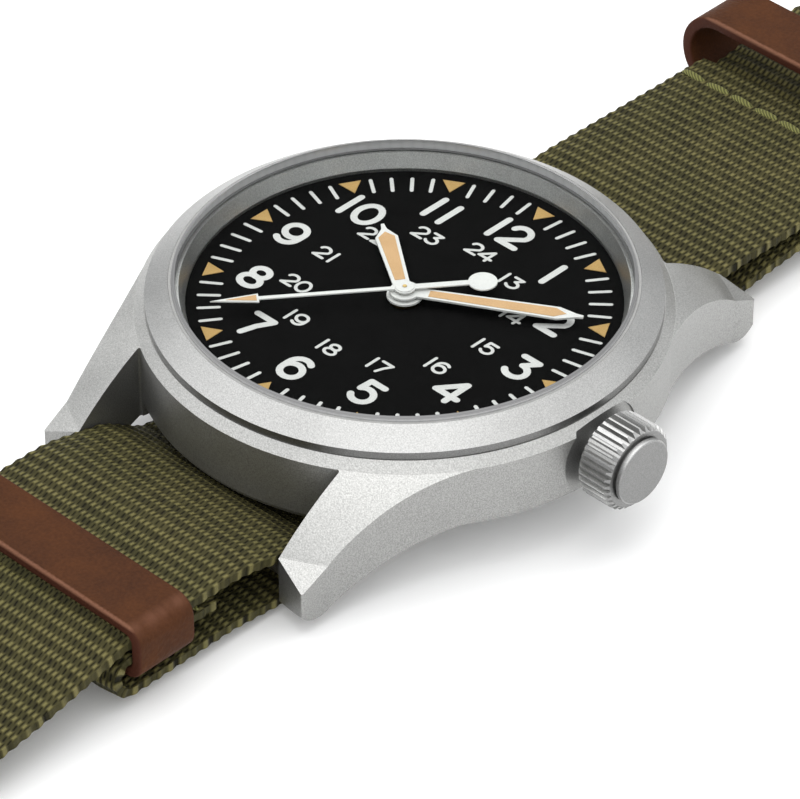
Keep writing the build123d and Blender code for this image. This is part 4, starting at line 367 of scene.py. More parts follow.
def glassFinish(name, look):
    material = bpy.data.materials.new(name)
    material.use_nodes = True
    tree = material.node_tree
    tree.nodes.remove(tree.nodes["Principled BSDF"])
    point = pointInMm(tree)
    rough = rangeOf(tree, noiseOf(tree, point, look["smear"]), look["rough"], look["rough"] * 2.5)
    clear = addNode(tree, "ShaderNodeBsdfTransparent", {"Color": (*look["tone"], 1)}).outputs[0]
    shine = addNode(tree, "ShaderNodeBsdfGlossy", {"Roughness": rough}).outputs[0]
    facing = addNode(tree, "ShaderNodeLayerWeight", {"Blend": 0.5}).outputs["Facing"]
    share = rangeOf(tree, facing, 0.0, look["edge"], look["glance"], 1.0)
    pane = addNode(tree, "ShaderNodeMixShader", {0: share, 1: clear, 2: shine}).outputs[0]
    radius = fromAxis(tree, point)
    lines = noiseOf(tree, addNode(tree, "ShaderNodeCombineXYZ", {0: radius}).outputs[0], look["rimLine"])
    ground = rampOf(tree, lines, [(0.35, look["rimDark"]), (0.65, look["rimLight"])])
    # painted shade: the level faces of the rim darker in colour than its upright walls
    paintedRimShade = rangeOf(tree, riseOf(tree), 1.0, look["bevel"], look["upright"], look["level"])
    ground = addNode(tree, "ShaderNodeVectorMath", {0: ground, "Scale": paintedRimShade}, operation="SCALE").outputs[0]
    rim = addNode(tree, "ShaderNodeBsdfPrincipled", {
        "Base Color": ground, "Roughness": look["rimRough"], "Metallic": look["rimMetal"],
    }).outputs[0]
    outside = calc(tree, "GREATER_THAN", radius, look["rimStart"])
    whole = addNode(tree, "ShaderNodeMixShader", {0: outside, 1: pane, 2: rim}).outputs[0]
    tree.links.new(whole, tree.nodes["Material Output"].inputs["Surface"])
    return material


crystalGlass = glassFinish("crystalGlass", glassLook)


# Webbing: raised rows of beads across the strap, with a sunk row between them.
# Its colour follows the height: painted shade in the pits and gaps, and a painted highlight on the bead tops.
# The map "along" holds millimetres across and along the strap.
weaveLook = {"row": 1.1, "bead": 0.483, "rowShift": 0.34, "slant": 0.3, "wander": 0.16,
             "ridge": (-0.7, 0.6), "beadPower": 0.85, "pitPower": 2.0,
             "beadHigh": 0.55, "ground": 0.43, "pitDeep": 0.42, "gapDeep": 0.24,
             "beadHighlightShare": 0.35, "beadToBead": 0.14, "yarn": 0.3, "yarnsPerMm": 9.0, "cloud": 7.0,
             "bright": (0.165, 0.147, 0.056), "body": (0.084, 0.075, 0.029), "mid": (0.044, 0.04, 0.015),
             "dark": (0.01, 0.009, 0.004), "faded": (1.0, 0.97, 0.93), "soiled": (0.72, 0.74, 0.66),
             "bump": 1.0, "depth": 0.22}


def arch(tree, value):
    # a rounded bump from each whole number to the next
    return calc(tree, "ABSOLUTE", calc(tree, "SINE", calc(tree, "MULTIPLY", value, math.pi)))


def webbingFinish(name, look):
    material, tree, shader = startMaterial(name, look["mid"], 0.62)
    where = addNode(tree, "ShaderNodeUVMap", uv_map="along").outputs[0]
    parts = addNode(tree, "ShaderNodeSeparateXYZ", {0: where}).outputs
    across = calc(tree, "MULTIPLY_ADD", noiseOf(tree, pointInMm(tree), 1.6), look["wander"], parts[0])
    rows = calc(tree, "DIVIDE", parts[1], look["row"])
    rowNumber, rowPart = calc(tree, "FLOOR", rows), calc(tree, "FRACT", rows)
    # 1 on the raised row, 0 in the sunk one
    ridge = calc(tree, "SINE", calc(tree, "MULTIPLY", rowPart, 2 * math.pi))
    ridge = rangeOf(tree, ridge, 0.0, 1.0, *look["ridge"])
    shifted = calc(tree, "DIVIDE", across, look["bead"])
    shifted = calc(tree, "MULTIPLY_ADD", rowNumber, look["rowShift"], shifted)
    shifted = calc(tree, "MULTIPLY_ADD", rowPart, look["slant"], shifted)
    bead = calc(tree, "MULTIPLY", ridge, calc(tree, "POWER", arch(tree, shifted), look["beadPower"]))
    # small pits beside the beads, and narrow gaps between them
    between = arch(tree, calc(tree, "ADD", shifted, 0.5))
    pit = calc(tree, "POWER", calc(tree, "SUBTRACT", 1.0, between), look["pitPower"])
    pit = calc(tree, "MULTIPLY", calc(tree, "SUBTRACT", 1.0, ridge), pit)
    gap = calc(tree, "SUBTRACT", ridge, bead)
    height = calc(tree, "MULTIPLY_ADD", pit, -look["pitDeep"], look["ground"])
    height = calc(tree, "MULTIPLY_ADD", bead, look["beadHigh"], height)
    height = calc(tree, "MULTIPLY_ADD", gap, -look["gapDeep"], height)
    # each bead has its own shade, and fine yarns run along it
    beadNumber = addNode(tree, "ShaderNodeCombineXYZ", {0: calc(tree, "FLOOR", shifted), 1: rowNumber})
    chance = addNode(
        tree, "ShaderNodeTexWhiteNoise", {"Vector": beadNumber.outputs[0]}, noise_dimensions="3D"
    ).outputs["Value"]
    yarnPlace = {0: calc(tree, "MULTIPLY", across, look["yarnsPerMm"]), 1: parts[1]}
    yarn = noiseOf(tree, addNode(tree, "ShaderNodeCombineXYZ", yarnPlace).outputs[0], 1.0, 3.0)
    # painted highlight on the bead tops
    paintedBeadHighlight = calc(tree, "MULTIPLY", bead, calc(tree, "MULTIPLY", bead, height))
    shade = calc(tree, "MULTIPLY", height, 1 - look["beadHighlightShare"])
    shade = calc(tree, "MULTIPLY_ADD", paintedBeadHighlight, look["beadHighlightShare"], shade)
    for value, share in ((chance, look["beadToBead"]), (yarn, look["yarn"])):
        shade = calc(tree, "MULTIPLY_ADD", value, share, calc(tree, "SUBTRACT", shade, share / 2))
    # the ramp paints shade low down, in the pits and gaps, and highlight high up
    colour = rampOf(tree, shade, [
        (0.05, look["dark"]), (0.26, look["mid"]), (0.5, look["body"]), (0.95, look["bright"]),
    ])
    broad = noiseOf(tree, pointInMm(tree), look["cloud"], 3.0)
    wear = rampOf(tree, broad, [(0.35, look["soiled"]), (0.65, look["faded"])])
    tree.links.new(tint(tree, 0.5, colour, wear, "MULTIPLY"), shader.inputs["Base Color"])
    tree.links.new(rangeOf(tree, height, 0.8, 0.5), shader.inputs["Roughness"])
    shader.inputs["Sheen Weight"].default_value = 0.01
    shader.inputs["Sheen Roughness"].default_value = 0.5
    shader.inputs["Specular IOR Level"].default_value = 0.1
    bumpOn(tree, shader, calc(tree, "MULTIPLY_ADD", yarn, 0.12, height), look["bump"], look["depth"])
    return material


oliveWebbing = webbingFinish("oliveWebbing", weaveLook)


# Thread of the stitches: twisted, lighter than the webbing
threadLook = {"light": (0.2, 0.198, 0.062), "dark": (0.08, 0.08, 0.024), "rough": 0.6, "twist": 1.9,
              "sheen": 0.04, "shine": 0.15, "bump": 0.8, "depth": 0.08}


def threadFinish(name, look):
    material, tree, shader = startMaterial(name, look["light"], look["rough"])
    wave = addNode(
        tree, "ShaderNodeTexWave",
        {"Vector": pointInMm(tree), "Scale": look["twist"], "Distortion": 1.0, "Detail": 2.0},
        bands_direction="DIAGONAL",
    ).outputs["Fac"]
    colour = rampOf(tree, wave, [(0.1, look["dark"]), (0.8, look["light"])])
    tree.links.new(colour, shader.inputs["Base Color"])
    shader.inputs["Sheen Weight"].default_value = look["sheen"]
    shader.inputs["Specular IOR Level"].default_value = look["shine"]
    bumpOn(tree, shader, wave, look["bump"], look["depth"])
    return material


greenThread = threadFinish("greenThread", threadLook)

# Leather of the two keepers: cut edges painted dark as painted shade, worn bends at its sides, and a pale
# line along the upper edge on the tail's side, which is a painted highlight
# "edge" is the colour of the painted highlight line, "cut" the painted shade on the cut edges
leatherLook = {"light": (0.084, 0.031, 0.0125), "dark": (0.046, 0.0165, 0.0072), "edge": (0.2, 0.092, 0.056),
               "cut": (0.06, 0.02, 0.012), "worn": (0.135, 0.058, 0.034), "rough": 0.58, "swing": 0.1,
               "shine": 0.06, "pores": 3.2, "bend": 0.75, "topFrom": 1.6, "topTo": 0.1,
               "highlightFrom": 0.34, "highlightTo": 0.14, "bump": 0.6, "depth": 0.09}


def leatherFinish(name, look, band):
    material, tree, shader = startMaterial(name, look["light"], look["rough"])
    point = pointInMm(tree)
    pores = addNode(
        tree, "ShaderNodeTexVoronoi", {"Vector": point, "Scale": look["pores"], "Randomness": 1.0},
        feature="SMOOTH_F1",
    ).outputs["Distance"]
    broad = noiseOf(tree, point, 3.0, 4.0)
    fine = noiseOf(tree, point, 0.25, 3.0)
    creased = addNode(tree, "ShaderNodeMapping", {"Vector": point, "Scale": (0.25, 1.6, 1.0)}).outputs[0]
    crease = noiseOf(tree, creased, 1.6, 3.0)
    mixed = calc(tree, "MULTIPLY_ADD", broad, 0.6, calc(tree, "MULTIPLY", fine, 0.4))
    colour = rampOf(tree, mixed, [(0.32, look["dark"]), (0.68, look["light"])])
    across, along, up = addNode(tree, "ShaderNodeSeparateXYZ", {0: point}).outputs
    # worn at the bend between the top and each side
    onTop = rangeOf(tree, up, 0.0, 1.0, band["high"] - look["topFrom"], band["high"] - look["topTo"])
    aside = calc(tree, "SUBTRACT", calc(tree, "ABSOLUTE", across), band["half"] - look["bend"])
    nearBend = rangeOf(tree, calc(tree, "ABSOLUTE", aside), 1.0, 0.0, 0.1, look["bend"])
    worn = calc(tree, "MULTIPLY", nearBend, rangeOf(tree, crease, 0.2, 0.8, 0.35, 0.65))
    colour = tint(tree, calc(tree, "MULTIPLY", worn, onTop), colour, (*look["worn"], 1))
    # the cut edges, painted dark: painted shade
    middle, reach = (band["start"] + band["end"]) / 2, (band["end"] - band["start"]) / 2
    offset = calc(tree, "ABSOLUTE", calc(tree, "SUBTRACT", along, middle))
    offset = calc(tree, "MULTIPLY_ADD", fine, 0.12, offset)
    rim = rangeOf(tree, offset, 0.0, 1.0, reach - 0.12, reach + 0.06)
    colour = tint(tree, rim, colour, (*look["cut"], 1))
    # the pale line: a painted highlight along the upper edge
    nearer = calc(tree, "MULTIPLY_ADD", fine, 0.16, calc(tree, "SUBTRACT", middle, along))
    line = rangeOf(tree, nearer, 0.0, 1.0, reach - 0.16, reach + 0.04)
    atTop = rangeOf(tree, up, 0.0, 1.0, band["high"] - look["highlightFrom"], band["high"] - look["highlightTo"])
    colour = tint(tree, calc(tree, "MULTIPLY", line, atTop), colour, (*look["edge"], 1))
    tree.links.new(colour, shader.inputs["Base Color"])
    roughOn(tree, shader, broad, look["rough"], look["swing"])
    shader.inputs["Specular IOR Level"].default_value = look["shine"]
    height = calc(tree, "MULTIPLY_ADD", pores, 0.35, calc(tree, "MULTIPLY_ADD", crease, 1.2, fine))
    bumpOn(tree, shader, height, look["bump"], look["depth"])
    return material


print("materials made:", len(bpy.data.materials))

# Finish of each CAD node that stays
nodeFinish = {
    steels["blasted"]: ["case_middle", "buckle_frame", "buckle_tongue"],
    steels["crown"]: ["crown"],
    steels["bezel"]: ["bezel"],
    steels["turned"]: ["case_back"],
    steels["satin"]: ["crown_tube", "spring_bar_tubes", "bar_tip_12_crown", "bar_tip_12_left",
                      "bar_tip_6_crown", "bar_tip_6_left"],
    crystalGlass: ["crystal"],
    paints["gasket"]: ["case_gaskets"],
    paints["rubber"]: ["crown_gasket"],
    paints["dialBlack"]: ["dial"],
    paints["handWhite"]: ["hour_hand", "minute_hand", "second_hand"],
    paints["movementRing"]: ["movement_ring"],
    paints["jewelRed"]: ["jewels", "pallet_stones"],
    steels["nickel"]: ["main_plate", "barrel_bridge", "train_bridge", "balance_cock", "pallet_bridge"],
    steels["brass"]: ["barrel_drum", "barrel_cover", "great_wheel", "third_wheel", "fourth_wheel",
                      "minute_wheel", "hour_wheel"],
    steels["gilt"]: ["balance_wheel"],
    steels["blued"]: ["mainspring", "hairspring", "movement_screws", "ratchet_screw"],
    steels["polished"]: ["ratchet_wheel", "crown_wheel", "winding_pinion", "sliding_pinion", "cannon_pinion",
                         "setting_wheel", "setting_lever", "yoke", "click", "click_spring",
                         "setting_spring", "escape_wheel", "pallet_fork", "balance_staff", "winding_stem",
                         "barrel_arbor", "regulator"],
}
for material, names in nodeFinish.items():
    for name in names:
        node = nodes[name]
        if not node.material_slots:
            node.data.materials.append(material)
        for materialSlot in node.material_slots:
            materialSlot.material = material
deselectAll()
print("finishes given to the CAD nodes")


# Straps

def roundedPath(corners, radii, step):
    # the straight runs of a route with an arc at each corner
    path = [Vector(corners[0])]
    for index in range(1, len(corners) - 1):
        before, here, after = (Vector(corners[index + shift]) for shift in (-1, 0, 1))
        inward, outward = (here - before).normalized(), (after - here).normalized()
        turn = math.atan2(inward.x * outward.y - inward.y * outward.x, inward.dot(outward))
        radius = radii[index - 1]
        start = here - inward * (radius * math.tan(abs(turn) / 2))
        side = Vector((-inward.y, inward.x)) * math.copysign(radius, turn)
        count = max(2, math.ceil(abs(turn) * radius / step))
        for share in range(count + 1):
            arm = -side
            arm.rotate(Matrix.Rotation(turn * share / count, 2))
            path.append(start + side + arm)
    path.append(Vector(corners[-1]))
    return path


def lengthOf(path):
    return sum((after - before).length for before, after in zip(path, path[1:]))


def crossings(path, place):
    # lengths along the path where it passes a place in Y
    found, done = [], 0.0
    for before, after in zip(path, path[1:]):
        run = (after - before).length
        if (before.x - place) * (after.x - place) < 0:
            found.append(done + run * (place - before.x) / (after.x - before.x))
        done += run
    return found


def pathCurve(path):
    # a flat curve for the Curve modifier, which bends in the XY plane
    data = bpy.data.curves.new("strapLine", "CURVE")
    data.dimensions = "2D"
    polySpline(data, [(place.x, place.y, 0) for place in path])
    return addToScene("strapLine", data)


def stackOfRows(name, look, length):
    # one row of the weave, shaped once and repeated along the strap; length along X, thickness Y, width Z
    row = look["row"]
    bpy.ops.mesh.primitive_cube_add(size=1)
    piece = nameIt(name)
    piece.scale = (row * mm, look["thickness"] * mm, look["width"] * mm)
    piece.location = (row * mm / 2, 0, 0)
    settle(piece)
    for atEnd in (lambda co: co.x < 0.1 * row * mm, lambda co: co.x > 0.9 * row * mm):
        selectVerts(piece, atEnd)
        bpy.ops.mesh.delete(type="ONLY_FACE")
        bpy.ops.object.mode_set(mode="OBJECT")
    runsAlong = lambda a, b: abs(a.x - b.x) > 0.5 * row * mm
    runsAcross = lambda a, b: abs(a.z - b.z) > 0.5 * look["width"] * mm
    for runs, cuts in ((runsAlong, look["cuts"]), (runsAcross, look["acrossCuts"])):
        selectEdges(piece, runs)
        bpy.ops.mesh.subdivide(number_cuts=cuts)
        bpy.ops.object.mode_set(mode="OBJECT")
    # crest and groove of the row, and the rounded edge
    halfWidth, halfThick = look["width"] / 2 * mm, look["thickness"] / 2 * mm
    for vertex in piece.data.vertices:
        phase = vertex.co.x / (row * mm)
        crest = 0.5 + 0.5 * math.sin(2 * math.pi * phase)
        nearEdge = abs(vertex.co.z) / halfWidth
        height = halfThick - look["groove"] * mm * (1 - crest)
        if nearEdge > 0.999:
            height *= look["edgeShare"]
            vertex.co.z = math.copysign(halfWidth - look["edgeGroove"] * mm * (1 - crest), vertex.co.z)
        vertex.co.y = math.copysign(height, vertex.co.y)
    count = round(length / row)
    array = piece.modifiers.new("rows", "ARRAY")
    array.count = count
    array.use_merge_vertices = True
    array.merge_threshold = 0.000005
    applyModifiers(piece)
    # close both ends, then fit the last part of a row
    selectVerts(piece, lambda co: co.x < 0.000001 or co.x > (count * row - 0.001) * mm)
    bpy.ops.mesh.edge_face_add()
    bpy.ops.object.mode_set(mode="OBJECT")
    stretch = length / (count * row)
    for vertex in piece.data.vertices:
        vertex.co.x *= stretch
    return piece


def mapAlong(piece):
    # the only map of the strap: millimetres across and along it
    layers = piece.data.uv_layers
    for name in [layer.name for layer in layers]:
        layers.remove(layers[name])
    layer = layers.new(name="along")
    points = piece.data.vertices
    for loop in piece.data.loops:
        place = points[loop.vertex_index].co
        layer.data[loop.index].uv = (place.z / mm, place.x / mm)


def cutAway(piece, cutter):
    cut = piece.modifiers.new("cut", "BOOLEAN")
    cut.operation = "DIFFERENCE"
    cut.solver = "EXACT"
    cut.object = cutter
    applyModifiers(piece)
    bpy.data.objects.remove(cutter)


def bendAlong(piece, path):
    line = pathCurve(path)
    bpy.context.view_layer.update()
    bend = piece.modifiers.new("bend", "CURVE")
    bend.object = line
    bend.deform_axis = "POS_X"
    applyModifiers(piece)
    bpy.data.objects.remove(line)
    # stand it up: along the strap to Y, thickness to Z, width to X
    piece.rotation_euler = (math.pi / 2, 0, math.pi / 2)
    settle(piece)


webbing = {"thickness": 1.15, "width": 19.8, "row": 1.1, "cuts": 5, "acrossCuts": 9, "groove": 0.09,
           "edgeShare": 0.6, "edgeGroove": 0.09}
mainStrapLook = {
    "route": [(-190, 0.575), (-66, 0.575), (-44.319, 3.952), (-36.3, 5.6), (-26, 5.6), (-20.623, 4.249),
              (-16.744, 1.825), (16.744, 1.825), (20.785, 4.35), (26, 4.45), (38, 4.15), (43.2, 4.1)],
    "radii": [40, 40, 12, 12, 1.45, 3, 3, 1.45, 12, 20],
    "holeRadius": 0.8, "firstHole": -98, "holeStep": 8.5, "holes": 9, "tip": 7, "tipHalf": 2.5,
}
arcStep = 0.25  # from point to point round a bend
cutDepth = 4  # of what cuts through a strap
underStrapLook = {
    "route": [(-28.5, 4.25), (-37.725, 4.25), (-37.725, 1.4), (-27, 1.4), (-19.6, 0.575), (19.6, 0.575),
              (27, 2.05), (40, 2.8), (44.5, 2.85), (51, 3.5), (66, 3.4), (79.425, 3.625), (79.425, 0.775),
              (72, 0.775), (67, 1.775)],
    "radii": [1.405, 1.405, 12, 10, 10, 20, 30, 20, 20, 30, 1.405, 1.405, 8],
    "slotHalf": 1.4, "slotFrom": 73.5,
}

mainPath = roundedPath(mainStrapLook["route"], mainStrapLook["radii"], arcStep)
mainStrap = stackOfRows("mainStrap", webbing, lengthOf(mainPath))
# holes for the tongue, then the pointed tail
start = mainStrapLook["route"][0][0]
pins = []
for number in range(mainStrapLook["holes"]):
    place = mainStrapLook["firstHole"] - number * mainStrapLook["holeStep"] - start
    deselectAll()
    bpy.ops.mesh.primitive_cylinder_add(
        vertices=24, radius=mainStrapLook["holeRadius"] * mm, depth=cutDepth * mm,
        location=(place * mm, 0, 0), rotation=(math.pi / 2, 0, 0),
    )
    pins.append(bpy.context.object)
cutAway(mainStrap, joinPieces(pins, "pins"))
for side in (-1, 1):
    pick(mainStrap)
    bpy.ops.object.mode_set(mode="EDIT")
    bpy.ops.mesh.select_all(action="SELECT")
    bpy.ops.mesh.bisect(
        plane_co=(0, 0, side * mainStrapLook["tipHalf"] * mm),
        plane_no=(mainStrapLook["tipHalf"] - webbing["width"] / 2, 0, side * mainStrapLook["tip"]),
        clear_outer=True, use_fill=True,
    )
    bpy.ops.object.mode_set(mode="OBJECT")
mapAlong(mainStrap)
bendAlong(mainStrap, mainPath)
cleanUp(mainStrap)
finishPiece(mainStrap, oliveWebbing, "watch", 60)
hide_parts("main_strap")
print("main strap:", len(mainStrap.data.polygons), "faces")

underPath = roundedPath(underStrapLook["route"], underStrapLook["radii"], arcStep)
underStrap = stackOfRows("underStrap", webbing, lengthOf(underPath))
slotEnds = crossings(underPath, underStrapLook["slotFrom"])
deselectAll()
bpy.ops.mesh.primitive_cube_add(size=1, location=(sum(slotEnds) / 2 * mm, 0, 0))
slotBlock = nameIt("slotBlock")
slotLength = slotEnds[1] - slotEnds[0]
slotBlock.scale = (slotLength * mm, cutDepth * mm, 2 * underStrapLook["slotHalf"] * mm)
settle(slotBlock)
cutAway(underStrap, slotBlock)
mapAlong(underStrap)
bendAlong(underStrap, underPath)
cleanUp(underStrap)
finishPiece(underStrap, oliveWebbing, "watch", 60)
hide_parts("under_strap")
print("under strap:", len(underStrap.data.polygons), "faces")


# Stitches: long flat bundles of thread in rows across the strap. "at" is their Y and Z.
stitchSlants = (-3, 4)  # degrees, by turns


def stitchRow(name, look):
    deselectAll()
    bpy.ops.mesh.primitive_uv_sphere_add(segments=14, ring_count=10, radius=1)
    first = nameIt(name)
    first.scale = (look["length"] / 2 * mm, look["wide"] / 2 * mm, look["high"] / 2 * mm)
    settle(first)
    # square the ends a little, as thread that dips into the cloth
    for vertex in first.data.vertices:
        share = vertex.co.x / (look["length"] / 2 * mm)
        vertex.co.z -= look["high"] * 0.5 * mm * share ** 4
        vertex.co.y *= max(1 - share * share, 0.02) ** -0.25
    count = look["count"]
    pieces = []
    for number in range(count):
        copy = addToScene(name, first.data.copy())
        place = (number - (count - 1) / 2) * look["step"]
        copy.location = (place * mm, look["at"][0] * mm, look["at"][1] * mm)
        copy.rotation_euler = (look.get("tilt", 0.0), 0, math.radians(stitchSlants[number % 2]))
        settle(copy)
        pieces.append(copy)
    bpy.data.objects.remove(first)
    return joinPieces(pieces, name)


stitchLooks = {
    "keeperStitches": {"at": (40.65, 4.66), "length": 2.4, "wide": 0.68, "high": 0.34, "step": 2.45,
                       "count": 8, "tilt": -0.01},
    "foldStitches": {"at": (-30.2, 4.8), "length": 2.35, "wide": 0.5, "high": 0.26, "step": 2.45,
                     "count": 8},
    "buckleStitches": {"at": (68.6, 3.98), "length": 2.35, "wide": 0.5, "high": 0.3, "step": 2.45,
                       "count": 8},
}
for name, look in stitchLooks.items():
    finishPiece(stitchRow(name, look), greenThread, "watch", 80)
print("stitches:", len(stitchLooks), "rows")


# Leather keepers: a band round both layers

def keeperBand(name, look):
    low, high = look["low"], look["high"]
    half, radius, wall = look["half"], look["corner"], look["wall"]
    middle = (low + high) / 2
    # centre line of the leather, seen along the strap
    line = []
    inset = radius - wall / 2
    for sideX, sideZ, startAngle in ((1, 1, 0), (-1, 1, 90), (-1, -1, 180), (1, -1, 270)):
        centreX = sideX * (half - radius)
        centreZ = middle + sideZ * ((high - low) / 2 - radius)
        for step in range(look["cornerSteps"] + 1):
            angle = math.radians(startAngle + 90 * step / look["cornerSteps"])
            line.append((centreX + inset * math.cos(angle), centreZ + inset * math.sin(angle)))
    data = bpy.data.curves.new(name, "CURVE")
    data.dimensions = "3D"
    polySpline(data, [(x, look["start"], z) for x, z in line], closed=True)
    band = meshFromCurve(name, data)
    # straight runs get points too
    selectEdges(band, lambda a, b: (a - b).length > 2 * mm)
    bpy.ops.mesh.subdivide(number_cuts=look["runCuts"])
    bpy.ops.mesh.select_all(action="SELECT")
    stepLength = (look["end"] - look["start"]) / look["bandSteps"] * mm
    for step in range(look["bandSteps"]):
        bpy.ops.mesh.extrude_region_move(TRANSFORM_OT_translate={"value": (0, stepLength, 0)})
    bpy.ops.mesh.select_all(action="SELECT")
    bpy.ops.mesh.remove_doubles(threshold=0.00001)
    bpy.ops.mesh.normals_make_consistent(inside=False)
    bpy.ops.object.mode_set(mode="OBJECT")
    thick = band.modifiers.new("thick", "SOLIDIFY")
    thick.thickness = wall * mm
    thick.offset = 0
    soft = band.modifiers.new("soft", "BEVEL")
    soft.width = look["bevel"] * mm
    soft.segments = 3
    soft.limit_method = "ANGLE"
    soft.angle_limit = math.radians(50)
    applyModifiers(band)
    cleanUp(band)
    return band


keeperLooks = {
    "keeperNear": {"node": "keeper_6", "start": -36.6, "end": -31.5, "half": 10.9, "low": 2.675, "high": 7.2,
                   "corner": 1.5, "wall": 0.9, "cornerSteps": 6, "bandSteps": 6, "runCuts": 14,
                   "bevel": 0.16},
    "keeperFar": {"node": "keeper_12", "start": 43.5, "end": 48.7, "half": 12.3, "low": 1.2, "high": 8.1,
                  "corner": 3.43, "wall": 0.9, "cornerSteps": 12, "bandSteps": 6, "runCuts": 14,
                  "bevel": 0.16},
}
for name, look in keeperLooks.items():
    leather = leatherFinish(name + "Leather", leatherLook, look)
    keeper = finishPiece(keeperBand(name, look), leather, "watch", 40)
    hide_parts(look["node"])
print("keepers made")


# Prints on the dial: strokes with round ends. A digit is 1 high, and stands on 0.

def arcPoints(centre, size, start, end):
    # an arc with a point about every 15 degrees
    steps = max(4, round(abs(end - start) / 15))
    turns = [math.radians(start + (end - start) * step / steps) for step in range(steps + 1)]
    return [(centre[0] + size[0] * math.cos(turn), centre[1] + size[1] * math.sin(turn)) for turn in turns]


def ringPoints(centre, size):
    return arcPoints(centre, size, 0, 345) + ["closed"]


def upsideDown(strokes):
    return [[one if one == "closed" else (-one[0], 1 - one[1]) for one in stroke] for stroke in strokes]


sixStrokes = [
    ringPoints((0, 0.335), (0.35, 0.335)),
    [(-0.35, 0.335)] + arcPoints((0.03, 0.6), (0.38, 0.4), 180, 48),
]
digitStrokes = {
    "0": [ringPoints((0, 0.5), (0.375, 0.5))],
    "1": [[(0, 0), (0, 1)]],
    "2": [arcPoints((0, 0.69), (0.33, 0.31), 165, -28) + [(-0.33, 0)], [(-0.33, 0), (0.36, 0)]],
    "3": [[(-0.3, 1), (0.3, 1)], [(0.3, 1), (-0.03, 0.62)], arcPoints((-0.02, 0.31), (0.36, 0.31), 92, -150)],
    "4": [[(0.17, 1), (-0.42, 0.27)], [(-0.42, 0.27), (0.42, 0.27)], [(0.19, 1), (0.19, 0)]],
    "5": [[(0.3, 1), (-0.24, 1)], [(-0.24, 1), (-0.27, 0.56)],
          arcPoints((0, 0.335), (0.35, 0.335), 140, -150)],
    "6": sixStrokes,
    "7": [[(-0.36, 1), (0.34, 1)], [(0.34, 1), (0.06, 0.5), (-0.1, 0)]],
    "8": [ringPoints((0, 0.76), (0.28, 0.24)), ringPoints((0, 0.27), (0.35, 0.27))],
    "9": upsideDown(sixStrokes),
}


def penStroke(data, points, width):
    # one stroke as a spline whose radius runs out at both ends
    closed = points[-1] == "closed"
    places = [Vector((point[0], point[1], 0)) for point in points if point != "closed"]
    radii = [1.0] * len(places)
    if not closed:
        for end in (0, -1):
            away = (places[0] - places[1]) if end == 0 else (places[-1] - places[-2])
            away = away.normalized() * width / 2
            tip = places[end]
            for turn in (30, 55, 75, 89):
                extra = tip + away * math.sin(math.radians(turn))
                size = math.cos(math.radians(turn))
                if end == 0:
                    places.insert(0, extra)
                    radii.insert(0, size)
                else:
                    places.append(extra)
                    radii.append(size)
    for point, size in zip(polySpline(data, places, closed).points, radii):
        point.radius = size


def inkPiece(name, strokes, look):
    # strokes laid on the dial as thin raised ink
    data = bpy.data.curves.new(name, "CURVE")
    data.dimensions = "3D"
    data.bevel_depth = look["stroke"] / 2 * mm
    data.bevel_resolution = 2
    for points in strokes:
        penStroke(data, points, look["stroke"])
    piece = meshFromCurve(name, data)
    piece.scale = (1, 1, look["flat"])
    piece.location = (0, 0, (dialTop + inkLift) * mm)
    settle(piece)
    cleanUp(piece)
    return finishPiece(piece, paints["printWhite"], "watch", 60)


def placed(digit, centre, shift, look):
    # the strokes of one digit, at its place on the dial
    return [
        [point if point == "closed" else (centre[0] + shift + point[0] * look["wide"],
                                          centre[1] + (point[1] - 0.5) * look["tall"])
         for point in stroke]
        for stroke in digitStrokes[digit]
    ]


dialTop = 9.6
inkLift = 0.004
# "pairs", "teens" and so on say how far left or right the digits of a number stand, and "aside"
# moves a whole number
hourLook = {"reach": 11.05, "sideReach": 11.35, "tall": 2.37, "wide": 2.37, "stroke": 0.53, "flat": 0.12,
            "aside": {4: (0.1, 0.27)},
            "pairs": {10: (-1.35, 0.49), 11: (-0.75, 0.75), 12: (-1.26, 0.54)}}
dayLook = {"reach": 7.92, "tall": 1.2, "wide": 1.34, "stroke": 0.25, "flat": 0.2,
           "teens": (-0.69, 0.3), "twenties": (-0.64, 0.6), "twentyOne": (-0.28, 0.75),
           "aside": {16: (0.18, 0.03), 17: (0.17, 0.07), 18: (0.11, 0.19), 23: (-0.2, -0.19)}}
trackLook = {"inner": 13.25, "outer": 14.72, "stroke": 0.29, "flat": 0.2}


def numberStrokes(number, reach, shifts, look):
    turn = math.radians(30 * number)
    asideX, asideY = look["aside"].get(number, (0, 0))
    centre = (reach * math.sin(turn) + asideX, reach * math.cos(turn) + asideY)
    strokes = []
    for digit, shift in zip(str(number), shifts):
        strokes += placed(digit, centre, shift, look)
    return strokes


hourStrokes, dayStrokes, tickStrokes = [], [], []
for hour in range(1, 13):
    reach = hourLook["sideReach"] if hour in (3, 9) else hourLook["reach"]
    hourStrokes += numberStrokes(hour, reach, hourLook["pairs"].get(hour, (0.0,)), hourLook)
    day = hour + 12
    shifts = dayLook["teens"] if day < 20 else dayLook["twentyOne"] if day == 21 else dayLook["twenties"]
    dayStrokes += numberStrokes(day, dayLook["reach"], shifts, dayLook)
for minute in range(60):
    if minute % 5:
        turn = math.radians(6 * minute)
        tickStrokes.append([(reach * math.sin(turn), reach * math.cos(turn))
                            for reach in (trackLook["inner"], trackLook["outer"])])
inkPiece("hourNumerals", hourStrokes, hourLook)
inkPiece("dayNumerals", dayStrokes, dayLook)
inkPiece("minuteTrack", tickStrokes, trackLook)
print("dial prints made")


# Filled outlines: luminous triangles and the fillings of the hands

